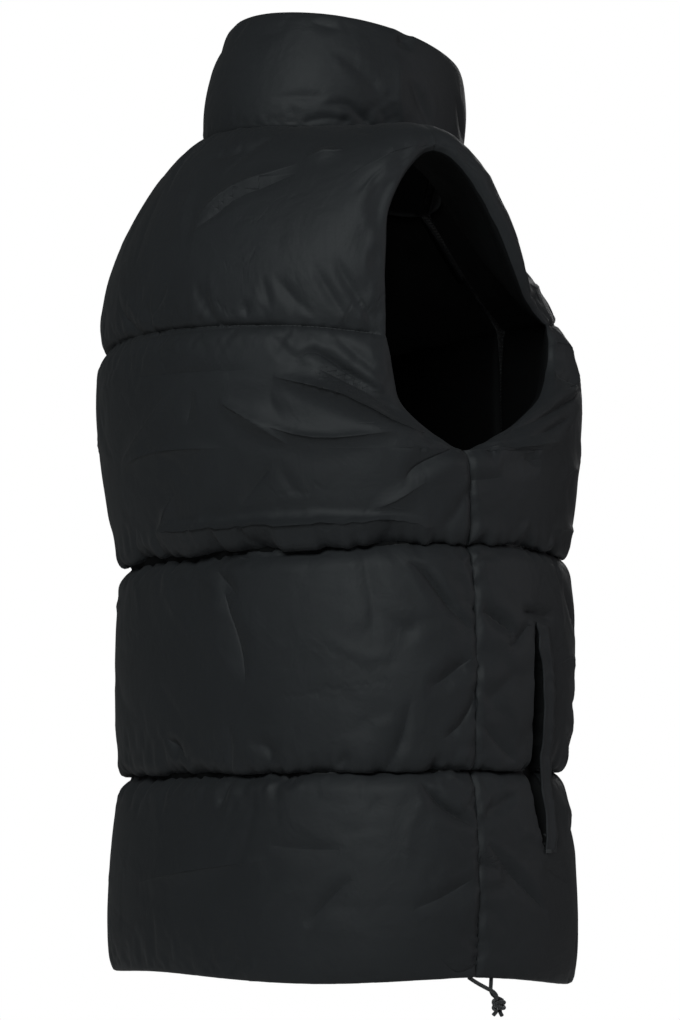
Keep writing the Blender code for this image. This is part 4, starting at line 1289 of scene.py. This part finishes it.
COLLAR_FOLDS = (
    Fold(((59, 0.68), (73, 0.54), (86, 0.34)), 0.0026, 0.0032),
    Fold(((46, 0.92), (60, 0.88)), 0.0015, 0.0034),
    Fold(((37, 0.24), (46, 0.26), (61, 0.28)), 0.0015, 0.0026),
    Fold(((58, 0.20), (70, 0.22), (80, 0.12), (92, 0.06)), 0.0024, 0.0026),
    Fold(((52, 0.05), (63, 0.10), (75, 0.08)), 0.0018, 0.0024),
    Fold(((89, 0.78), (93, 0.38), (100, 0.16)), -0.0034, 0.0068),
    Fold(((96, 0.60), (105, 0.44), (113, 0.30)), 0.0026, 0.0034),
    Fold(((88, 0.88), (93, 0.95), (98, 1.0)), 0.0033, 0.0034),
    Fold(((-20, 0.50), (2, 0.56), (24, 0.52)), -0.0015, 0.0068),
    Fold(((8, 0.86), (22, 0.80), (36, 0.84)), 0.0013, 0.0051),
    Fold(((128, 0.70), (140, 0.52), (150, 0.50)), 0.0026, 0.0043),
    Fold(((152, 0.88), (160, 0.70), (171, 0.62)), 0.0025, 0.0034),
    Fold(((120, 0.14), (131, 0.24), (144, 0.20)), 0.0025, 0.0034),
    Fold(((158, 0.20), (166, 0.34), (174, 0.36)), 0.0025, 0.0034),
)
COLLAR_GATHERS = (
    Gathers((-176, 0.04), (176, 0.04), 1, 0.009, 0.012, 0.0010, 0.0020, 0.0),
    Gathers((-170, 0.97), (170, 0.97), -1, 0.022, 0.010, 0.0006, 0.0026, 0.0),
)
COLLAR_GRAIN = np.array((700.0, 12.0))    # degrees of turn and parts of its height in a metre


def collar(turn, height):
    """Points on the middle of the collar's wall: height 0 at the neck seam, 1 at the rim."""
    turn, height = (np.asarray(values, float) for values in np.broadcast_arrays(turn, height))
    neck = LINES[NECK]
    foot = ring(*neck[:3], turn)
    foot[..., 2] = line_height(neck, turn)
    rim = ring(RIM_HALF_WIDTH, RIM_HALF_DEPTH, RIM_MIDDLE, turn)
    rim[..., 2] = round_the_body(RIM_HEIGHTS, turn)
    away = unit((foot - (0, neck.middle, 0)) * (1, 1, 0))
    bulge = (COLLAR_BULGE * np.sin(np.pi * height))[..., None]
    return foot + (rim - foot) * height[..., None] + away * bulge


def collar_wall(height, part):
    height, part = np.broadcast_arrays(height, part)
    limit = zip_turn(collar, height)
    turn = limit * part
    to_zip = LINES[NECK].half_depth * np.radians(limit * (1 - np.abs(part)))
    swelling = pillow(FOLD_START + (1 - FOLD_START) * (1 - height)) * taper(to_zip, SEAM_TAPER)
    point, away = collar(turn, height), outward(collar, turn, height)
    thick = (SEAM_WALL / 2 + COLLAR_LOFT * swelling)[..., None]
    return point + away * thick, point - away * thick, away, turn, height


def make_collar():
    even = np.linspace(0, 1, COLLAR_ROWS + 1)
    heights = even - ROW_CROWDING / math.tau * np.sin(math.tau * even)
    parts = np.linspace(-1, 1, COLLAR_COLUMNS + 1)
    outer, inner, _, turn, height = collar_wall(heights[:, None], parts)
    move = np.zeros_like(outer)
    sewn = np.zeros(turn.shape, bool)
    sewn[[0, -1]] = True
    sewn[:, [0, -1]] = True
    move = settle(outer, sewn, uneven_slack(height, COLLAR_PULL, turn, (0.21, 0.123)))
    shell, _, away, turn, height = collar_wall(split_steps(heights)[:, None], split_steps(parts))
    shell += split_grid(move)
    folds = [*COLLAR_FOLDS, *other_side(COLLAR_FOLDS, 17)]
    for seed, gathers in enumerate(COLLAR_GATHERS):
        folds += gather_folds(gathers, 80 + seed, COLLAR_GRAIN)
    base = collar(turn, height)
    for fold in folds:
        press(shell, base, away, turn, height, collar, fold)
    roll = np.zeros(turn.shape)
    roll[-1] = RIM_ROLL
    piece = sew_up("collar", shell, inner, roll, (panel_finishes[0], panel_finishes[0]))
    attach(piece, "vest")
    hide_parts("collar")


make_collar()


# --- zip --------------------------------------------------------------------------------------
# A moulded zip joins the fronts from the hem to the collar's rim: two woven tapes, teeth that
# reach past each other, a box and pin at the foot, and an enamelled slider near the top.

ZIP_START, TAPE_END = 0.0005, 0.0020
TEETH_PITCH, TEETH_START = 0.0025, 0.0088
TOOTH = (0.0038, 0.0024, 0.00122)         # across, through and along the chain
TOOTH_REACH = 0.0009     # past the vest's middle
BOX_TOP = 0.008
SLIDER_HEIGHT, CHAIN_END = 0.028, 0.0052    # the chain ends this far below the slider's middle
TAPE_PROFILE = (         # out from the vest's middle, and out from the wearer
    (0.00005, -0.0003), (0.0004, -0.0005), (0.0020, -0.0005), (0.0023, -0.0003), (0.0072, -0.0003),
    (0.0072, 0.0003), (0.0023, 0.0003), (0.0020, 0.0005), (0.0004, 0.0005), (0.00005, 0.0003),
)
TAPE_STEP = 0.004
HERRINGBONE, RIB = 0.0012, 0.0007    # widths of its stripes and of their ribs
BODY_STEPS, COLLAR_STEPS = 96, 24    # of the zip's line


def cut_zip(low, high, step):
    """Evenly spaced points of the zip's line between two heights, with their two directions."""
    up_body = np.linspace(0, NECK, BODY_STEPS + 1)[:-1]
    up_collar = np.linspace(0, 1, COLLAR_STEPS + 1)
    line = np.concatenate([surface(np.full(len(up), 180.0), up)
                           for surface, up in ((body, up_body), (collar, up_collar))])
    travelled = np.concatenate([[0], np.cumsum(np.linalg.norm(np.diff(line, axis=0), axis=-1))])
    ends = np.interp((low, high), line[:, 2], travelled)
    marks = np.linspace(*ends, max(2, round((ends[1] - ends[0]) / step) + 1))
    out, up = (np.interp(marks, travelled, line[:, axis]) for axis in (1, 2))
    points = np.stack([0 * marks, out, up], -1)
    along = unit(np.gradient(points, axis=0))
    return points, along, np.cross((1, 0, 0), along)


def sweep(name, points, away, profile, side):
    """A closed strip with one profile along a line; its UV map runs round it and along it."""
    out, up = np.array(profile).T
    rings = points[:, None] + away[:, None] * up[:, None]
    rings = rings + (side * out)[:, None] * np.array((1, 0, 0))
    count, corners = rings.shape[:2]
    numbers = np.arange(count * corners).reshape(count, corners)
    faces = []
    for corner in range(corners):
        following = (corner + 1) % corners
        faces += np.stack([numbers[:-1, corner], numbers[:-1, following],
                           numbers[1:, following], numbers[1:, corner]], -1).tolist()
    faces += [numbers[0, ::-1].tolist(), numbers[-1].tolist()]
    mesh = bpy.data.meshes.new(name)
    mesh.from_pydata(rings.reshape(-1, 3).tolist(), [], faces)
    place = np.stack(np.broadcast_arrays(out, grid_travel(rings, 0)[:, :1]), -1).reshape(-1, 2)
    ends = np.empty(len(mesh.loops), np.int32)
    mesh.loops.foreach_get("vertex_index", ends)
    mesh.uv_layers.new(name="cloth").data.foreach_set("uv", place[ends].astype(np.float32).ravel())
    work = bmesh.new()
    work.from_mesh(mesh)
    bmesh.ops.recalc_face_normals(work, faces=work.faces[:])
    work.to_mesh(mesh)
    work.free()
    return add_object(name, mesh)


def woven_tape():
    """Herringbone tape: ribs that change direction from stripe to stripe."""
    material, tree, shader = new_finish("woven_tape", Roughness=0.8, Sheen_Weight=0.15,
                                        Specular_IOR_Level=0.3)
    place = add_node(tree, "ShaderNodeSeparateXYZ",
                     {"Vector": add_node(tree, "ShaderNodeUVMap", uv_map="cloth").outputs["UV"]})
    fold = calculate(tree, "PINGPONG", place.outputs["X"], HERRINGBONE)
    lean = calculate(tree, "ADD", place.outputs["Y"], fold)
    ribs = calculate(tree, "SINE", calculate(tree, "MULTIPLY", lean, math.tau / RIB))
    bump = add_node(tree, "ShaderNodeBump", {"Strength": 0.7, "Distance": 0.00015, "Height": ribs})
    tree.links.new(bump.outputs["Normal"], shader.inputs["Normal"])
    # The ribs' tops are coloured lighter and the grooves between them darker: painted light and
    # shade.
    shade = calculate(tree, "MULTIPLY_ADD", ribs, 0.25, 1.0)
    colour = add_node(tree, "ShaderNodeVectorMath", {0: TAPE_BLACK, 1: shade}, operation="MULTIPLY")
    tree.links.new(colour.outputs[0], shader.inputs["Base Color"])
    return material


def moulded_or_enamelled(name, colour, roughness, wear, **constants):
    """Hard black finish whose colour and shine drift a little and lighten along its edges."""
    material, tree, shader = new_finish(name, **constants)
    place = add_node(tree, "ShaderNodeTexCoord").outputs["Object"]
    spots = add_node(tree, "ShaderNodeTexNoise", {"Vector": place, "Scale": 900.0, "Detail": 3.0})
    spots = spots.outputs["Fac"]
    edge = add_node(tree, "ShaderNodeNewGeometry").outputs["Pointiness"]
    rubbed = add_node(tree, "ShaderNodeMapRange", {
        "Value": edge, "From Min": 0.52, "From Max": 0.62, "To Max": wear})
    shade = calculate(tree, "MULTIPLY_ADD", spots, 0.4, 0.8)
    shade = calculate(tree, "ADD", shade, rubbed.outputs["Result"])
    mixed = add_node(tree, "ShaderNodeVectorMath", {0: colour, 1: shade}, operation="MULTIPLY")
    tree.links.new(mixed.outputs[0], shader.inputs["Base Color"])
    rough = calculate(tree, "MULTIPLY_ADD", spots, 0.12, roughness)
    tree.links.new(rough, shader.inputs["Roughness"])
    return material


TAPE_BLACK, TEETH_BLACK = (0.015, 0.016, 0.017), (0.013, 0.013, 0.014)
ENAMEL_BLACK = (0.020, 0.020, 0.021)
tape_finish = woven_tape()
teeth_finish = moulded_or_enamelled("moulded_teeth", TEETH_BLACK, 0.34, 0.3)
enamel = moulded_or_enamelled("black_enamel", ENAMEL_BLACK, 0.22, 0.8, Metallic=0.8,
                              Coat_Weight=0.3)

zip_foot, zip_rim = body(180.0, 0.0)[2], collar(180.0, 1.0)[2]
for word, side in (("right", -1), ("left", 1)):
    points, _, away = cut_zip(zip_foot + ZIP_START, zip_rim - TAPE_END, TAPE_STEP)
    tape = sweep(f"zip_tape_{word}", points, away, TAPE_PROFILE, side)
    tape.data.materials.append(tape_finish)
    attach(tape, "vest")
    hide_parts(f"zip_tape_{word}")


def block(work, size, place, widening=1.0):
    """Add a box whose top is wider or narrower than its foot by a factor."""
    for corner in bmesh.ops.create_cube(work, size=1)["verts"]:
        corner.co = Vector((corner.co.x * size[0] * (widening if corner.co.z > 0 else 1),
                            corner.co.y * size[1], corner.co.z * size[2])) + Vector(place)


def finish_block(name, work, width, segments, material):
    """A hard piece from a mesh in work, with all its edges rounded."""
    if width:
        edges = [edge for edge in work.edges if edge.calc_face_angle(0) > 0.5]
        bmesh.ops.bevel(work, geom=edges, offset=width, segments=segments, profile=0.6,
                        affect="EDGES", clamp_overlap=True)
    mesh = bpy.data.meshes.new(name)
    work.to_mesh(mesh)
    work.free()
    mesh.materials.append(material)
    mesh.shade_smooth()
    mesh.set_sharp_from_angle(angle=math.radians(40))
    return add_object(name, mesh)


def repeat(name, unit_piece, points, along, away, material):
    """Copies of a small piece standing at points, its Z along the line and its Y away from it."""
    mesh = bpy.data.meshes.new(name)
    mesh.from_pydata(np.asarray(points).tolist(), [], [])
    for word, values in (("along", along), ("away", away)):
        layer = mesh.attributes.new(word, "FLOAT_VECTOR", "POINT")
        layer.data.foreach_set("vector", np.asarray(values, np.float32).ravel())
    spots = add_object(name, mesh)
    tree = bpy.data.node_groups.new(name, "GeometryNodeTree")
    tree.interface.new_socket("Spots", in_out="INPUT", socket_type="NodeSocketGeometry")
    size = tree.interface.new_socket("Size", in_out="INPUT", socket_type="NodeSocketFloat")
    tree.interface.new_socket("Result", in_out="OUTPUT", socket_type="NodeSocketGeometry")
    given = tree.nodes.new("NodeGroupInput")
    result = tree.nodes.new("NodeGroupOutput")
    turned = None
    for word, axis in (("along", "Z"), ("away", "Y")):
        field = add_node(tree, "GeometryNodeInputNamedAttribute", {"Name": word},
                         data_type="FLOAT_VECTOR")
        align = add_node(tree, "FunctionNodeAlignRotationToVector", {"Vector": field.outputs[0]},
                         axis=axis)
        if turned:
            align.pivot_axis = "Z"
            tree.links.new(turned, align.inputs["Rotation"])
        turned = align.outputs[0]
    copied = add_node(tree, "GeometryNodeObjectInfo", {"Object": unit_piece})
    placed = add_node(tree, "GeometryNodeInstanceOnPoints", {
        "Points": given.outputs["Spots"], "Instance": copied.outputs["Geometry"],
        "Rotation": turned, "Scale": given.outputs["Size"]})
    real = add_node(tree, "GeometryNodeRealizeInstances", {"Geometry": placed.outputs["Instances"]})
    coated = add_node(tree, "GeometryNodeSetMaterial", {"Geometry": real.outputs["Geometry"],
                                                        "Material": material})
    tree.links.new(coated.outputs["Geometry"], result.inputs["Result"])
    change = spots.modifiers.new("repeat", "NODES")
    change.node_group = tree
    change[size.identifier] = 1.0
    shape = spots.evaluated_get(bpy.context.evaluated_depsgraph_get())
    made = add_object(name, bpy.data.meshes.new_from_object(shape))
    bpy.data.objects.remove(spots)
    bpy.data.objects.remove(unit_piece)
    return made


def join_pieces(pieces):
    """One object of several, with the first one's name."""
    work = bmesh.new()
    for piece in pieces:
        work.from_mesh(piece.data)
    work.to_mesh(pieces[0].data)
    work.free()
    for piece in pieces[1:]:
        bpy.data.objects.remove(piece)
    return pieces[0]


chain = []
for side in (-1, 1):
    work = bmesh.new()
    block(work, TOOTH, (TOOTH[0] / 2 - TOOTH_REACH, 0, 0))
    tooth = finish_block("tooth", work, 0.0003, 2, teeth_finish)
    start = zip_foot + TEETH_START + (side > 0) * TEETH_PITCH / 2
    points, along, away = cut_zip(start, SLIDER_HEIGHT - CHAIN_END, TEETH_PITCH)
    chain.append(repeat("zip_chain", tooth, points, along, -side * away, teeth_finish))
chain = join_pieces(chain)
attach(chain, "vest")
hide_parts("zip_chain")


def stand_at(low, high):
    """The place of a piece on the zip: its middle between two heights, its -Y away from it."""
    points, along, away = cut_zip(low, high, 0.0005)
    half = len(points) // 2
    turned = Matrix((Vector((1, 0, 0)), Vector(-away[half]), Vector(along[half]))).transposed()
    middle = (points[0] + points[-1]) / 2
    return Matrix.Translation(middle) @ turned.to_4x4(), np.linalg.norm(points[-1] - points[0])


BOX_SIZE, BOX_ASIDE = (0.0034, 0.0040), -0.0013
PIN_SIZE, PIN_ASIDE = (0.0021, 0.0030), 0.00185
BOX_RIDGE, RIDGE_UP = (0.0016, 0.0042, 0.0030), 0.0006

place, length = stand_at(zip_foot + ZIP_START, zip_foot + BOX_TOP)
work = bmesh.new()
block(work, (*BOX_SIZE, length), (BOX_ASIDE, 0, 0))
block(work, (*PIN_SIZE, length), (PIN_ASIDE, 0, 0))
block(work, BOX_RIDGE, (BOX_ASIDE, 0, RIDGE_UP))
foot = finish_block("zip_box", work, 0.0004, 3, teeth_finish)
foot.data.transform(place)
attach(foot, "vest")
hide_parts("zip_box")

# The slider's parts are across, through and along the zip. Its two plates widen towards the top
# and are joined by a wedge; each has a flange down both sides, and the front one carries the bail.
PLATE, PLATE_OUT, PLATE_WIDENING = (0.0076, 0.0014, 0.011), 0.0023, 1.13
FLANGE, FLANGE_PLACE = (0.0008, 0.0012, 0.0070), (0.0036, 0.0011, -0.0018)
WEDGE, WEDGE_UP, WEDGE_WIDENING = (0.0016, 0.0040, 0.0040), 0.0030, 2.2
SADDLE, SADDLE_OUT = (0.0030, 0.0008, 0.0062), 0.0030
BAIL_RADIUS, BAIL_WIRE, BAIL_OUT = 0.0023, 0.0007, 0.0042
BAIL_BROADER = 1.2       # across the zip, than it is thick
BAIL_RINGS, BAIL_SIDES = 40, 14

place, _ = stand_at(SLIDER_HEIGHT - 0.0002, SLIDER_HEIGHT + 0.0002)
work = bmesh.new()
for face in (-1, 1):
    block(work, PLATE, (0, face * PLATE_OUT, 0), PLATE_WIDENING)
    for side in (-1, 1):
        block(work, FLANGE, Vector((side, face, 1)) * Vector(FLANGE_PLACE))
block(work, WEDGE, (0, 0, WEDGE_UP), WEDGE_WIDENING)
block(work, SADDLE, (0, -SADDLE_OUT, 0))
slider = finish_block("zip_slider", work, 0.00035, 3, enamel)
work = bmesh.new()
work.from_mesh(slider.data)
wire = []
for ring_step in range(BAIL_RINGS):
    angle = math.tau * ring_step / BAIL_RINGS
    for side_step in range(BAIL_SIDES):
        round_it = math.tau * side_step / BAIL_SIDES
        reach = BAIL_RADIUS + BAIL_WIRE * math.cos(round_it)
        wire.append(work.verts.new((BAIL_WIRE * BAIL_BROADER * math.sin(round_it),
                                    -BAIL_OUT + reach * math.sin(angle), reach * math.cos(angle))))
for ring_step in range(BAIL_RINGS):
    for side_step in range(BAIL_SIDES):
        corners = [((ring_step + over) % BAIL_RINGS) * BAIL_SIDES + (side_step + on) % BAIL_SIDES
                   for over, on in ((0, 0), (0, 1), (1, 1), (1, 0))]
        work.faces.new([wire[corner] for corner in corners]).smooth = True
bmesh.ops.recalc_face_normals(work, faces=work.faces[:])
work.to_mesh(slider.data)
work.free()
slider.data.transform(place)
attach(slider, "vest")
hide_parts("zip_slider")

PULL_OUT = 0.0045        # of the pull's hinge, from the slider's middle
PULL_TOP, PULL_FOOT, PULL_HALF, PULL_THICK = 0.0006, -0.0294, 0.0032, 0.0016
PULL_CORNER, SLOT_CORNER = 0.0016, 0.0008
PULL_NARROWING = 0.16    # from its foot to its top
SLOT_MIDDLE, SLOT_HALF_WIDTH, SLOT_HALF_LENGTH = -0.00225, 0.0016, 0.00165
OUTLINE_POINTS, CORNER_STEPS = 96, 8
GRIP_BAR, GRIP_BARS, GRIP_FIRST, GRIP_STEP = (0.0040, 0.0005, 0.0009), 7, -0.0125, -0.0021


def rounded_outline(half_width, low, high, corner, count):
    """Points evenly spaced on a rounded rectangle, from the middle of its top, clockwise."""
    outline = []
    for x, z, start in ((1, 1, 90), (1, -1, 0), (-1, -1, -90), (-1, 1, -180)):
        for step in range(CORNER_STEPS + 1):
            angle = math.radians(start - step * 90 / CORNER_STEPS)
            outline.append((x * (half_width - corner) + corner * math.cos(angle),
                            (high if z > 0 else low) - z * corner + corner * math.sin(angle)))
    outline = np.array([(0, high), *outline, (0, high)])
    travelled = np.concatenate([[0], np.cumsum(np.linalg.norm(np.diff(outline, axis=0), axis=-1))])
    marks = np.linspace(0, travelled[-1], count, endpoint=False)
    return np.stack([np.interp(marks, travelled, outline[:, axis]) for axis in (0, 1)], -1)


work = bmesh.new()
tab = rounded_outline(PULL_HALF, PULL_FOOT, PULL_TOP, PULL_CORNER, OUTLINE_POINTS)
tab[:, 0] *= 1 - PULL_NARROWING * (tab[:, 1] - PULL_FOOT) / (PULL_TOP - PULL_FOOT)
slot = rounded_outline(SLOT_HALF_WIDTH, SLOT_MIDDLE - SLOT_HALF_LENGTH,
                       SLOT_MIDDLE + SLOT_HALF_LENGTH, SLOT_CORNER, OUTLINE_POINTS)
loops = [[work.verts.new((x, face * PULL_THICK / 2, z)) for x, z in outline]
         for face, outline in ((-1, slot), (-1, tab), (1, tab), (1, slot))]
for here, there in zip(loops, loops[1:] + loops[:1]):
    for index in range(OUTLINE_POINTS):
        following = (index + 1) % OUTLINE_POINTS
        work.faces.new((here[index], here[following], there[following], there[index]))
bmesh.ops.recalc_face_normals(work, faces=work.faces[:])
for bar in range(GRIP_BARS):
    for face in (-1, 1):
        block(work, GRIP_BAR, (0, face * PULL_THICK / 2, GRIP_FIRST + bar * GRIP_STEP))
pull = finish_block("zip_pull_tab", work, 0.00022, 2, enamel)
pull.data.transform(Matrix.Translation(place @ Vector((0, -PULL_OUT, 0))))
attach(pull, "zip_pull")
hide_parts("zip_pull_tab")


# --- stitches ---------------------------------------------------------------------------------
# Black thread: one row on every quilt line, one beside the zip, and a bartack at each end of
# the pockets.

STITCH, STITCH_PITCH, THREAD = 0.0027, 0.0033, 0.00032
BARTACK_THREADS, BARTACK_STEP, BARTACK_UP = 13, 0.0005, 0.0012
THREAD_BLACK = (0.030, 0.032, 0.034)


def sewn_row(row, away):
    """Evenly spaced stitches on a row of cloth."""
    travelled = np.concatenate([[0], np.cumsum(np.linalg.norm(np.diff(row, axis=0), axis=-1))])
    marks = np.arange(STITCH_PITCH, travelled[-1] - STITCH_PITCH, STITCH_PITCH)
    points, away = (np.stack([np.interp(marks, travelled, column) for column in values.T], -1)
                    for values in (row, away))
    return points, unit(np.gradient(points, axis=0)), away


rows = [sewn_row(*row) for row in quilt_rows + zip_rows]
for shell, away, turn, level in fronts:
    for end in (MOUTH[0], MOUTH[-1]):
        gap = ((np.abs(turn) - end.turn) / GRAIN[0]) ** 2 + ((level - end.level) / GRAIN[1]) ** 2
        row, column = np.unravel_index(gap.argmin(), gap.shape)
        spot, out = shell[row, column], away[row, column]
        beside = unit(np.cross((0, 0, 1), out))
        steps = (np.arange(BARTACK_THREADS) - BARTACK_THREADS // 2)[:, None] * BARTACK_STEP
        points = spot + steps * beside + BARTACK_UP * out
        rows.append((points, np.tile(np.cross(out, beside), (BARTACK_THREADS, 1)),
                     np.tile(out, (BARTACK_THREADS, 1))))
points, along, away = (np.concatenate(values) for values in zip(*rows))
work = bmesh.new()
bmesh.ops.create_cone(work, cap_ends=True, segments=6, radius1=THREAD, radius2=THREAD,
                      depth=STITCH)
thread = moulded_or_enamelled("sewing_thread", THREAD_BLACK, 0.55, 0.0)
stitch = finish_block("stitch", work, 0.0, 1, thread)
stitches = repeat("stitches", stitch, points + away * THREAD, along, away, thread)
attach(stitches, "vest")


# --- floor and light --------------------------------------------------------------------------
# A pale floor far below the vest, a white surround and broad soft lights.

FLOOR_HEIGHT, FLOOR_SIZE = -1.05, 12.0
AMBIENT = 0.034
LAMP_AIM = Vector((0, 0, -0.3))

stage = add_object("floor", bpy.data.meshes.new("floor"))
corners = [(x * FLOOR_SIZE / 2, y * FLOOR_SIZE / 2, FLOOR_HEIGHT)
           for x, y in ((-1, -1), (1, -1), (1, 1), (-1, 1))]
stage.data.from_pydata(corners, [], [(0, 1, 2, 3)])
pale, _, _ = new_finish("pale_floor", Base_Color=(0.8, 0.8, 0.8, 1), Roughness=0.9)
stage.data.materials.append(pale)

world = bpy.data.worlds.new("surround")
world.use_nodes = True
bpy.context.scene.world = world
tree = world.node_tree
seen = add_node(tree, "ShaderNodeLightPath").outputs["Is Camera Ray"]
tree.nodes["Background"].inputs["Color"].default_value = (1, 1, 1, 1)
strength = add_node(tree, "ShaderNodeMapRange", {"Value": seen, "To Min": AMBIENT, "To Max": 1.0})
tree.links.new(strength.outputs["Result"], tree.nodes["Background"].inputs["Strength"])

# Each lamp's turn is measured from the camera's, positive on the wearer's right.
Lamp = namedtuple("Lamp", "name turn distance height width tall power colour")
LAMPS = (
    Lamp("key", -17.0, 2.0, 0.7, 1.2, 0.7, 29.0, (0.93, 1.0, 1.0)),
    Lamp("side", 78.0, 3.0, 0.6, 1.6, 1.6, 14.0, (1.0, 0.97, 1.0)),
    Lamp("front", 170.0, 3.0, 1.0, 1.8, 1.8, 22.0, (1.0, 1.0, 1.0)),
)
for lamp in LAMPS:
    light = add_object(lamp.name, bpy.data.lights.new(lamp.name, "AREA"))
    light.data.shape = "RECTANGLE"
    light.data.size, light.data.size_y = lamp.width, lamp.tall
    light.data.energy = lamp.power
    light.data.color = lamp.colour
    angle = view_angle + math.radians(lamp.turn)
    light.location = (-math.sin(angle) * lamp.distance, math.cos(angle) * lamp.distance,
                      lamp.height)
    direction = LAMP_AIM - light.location
    light.rotation_euler = direction.to_track_quat("-Z", "Y").to_euler()

bpy.context.scene.view_settings.view_transform = "Standard"
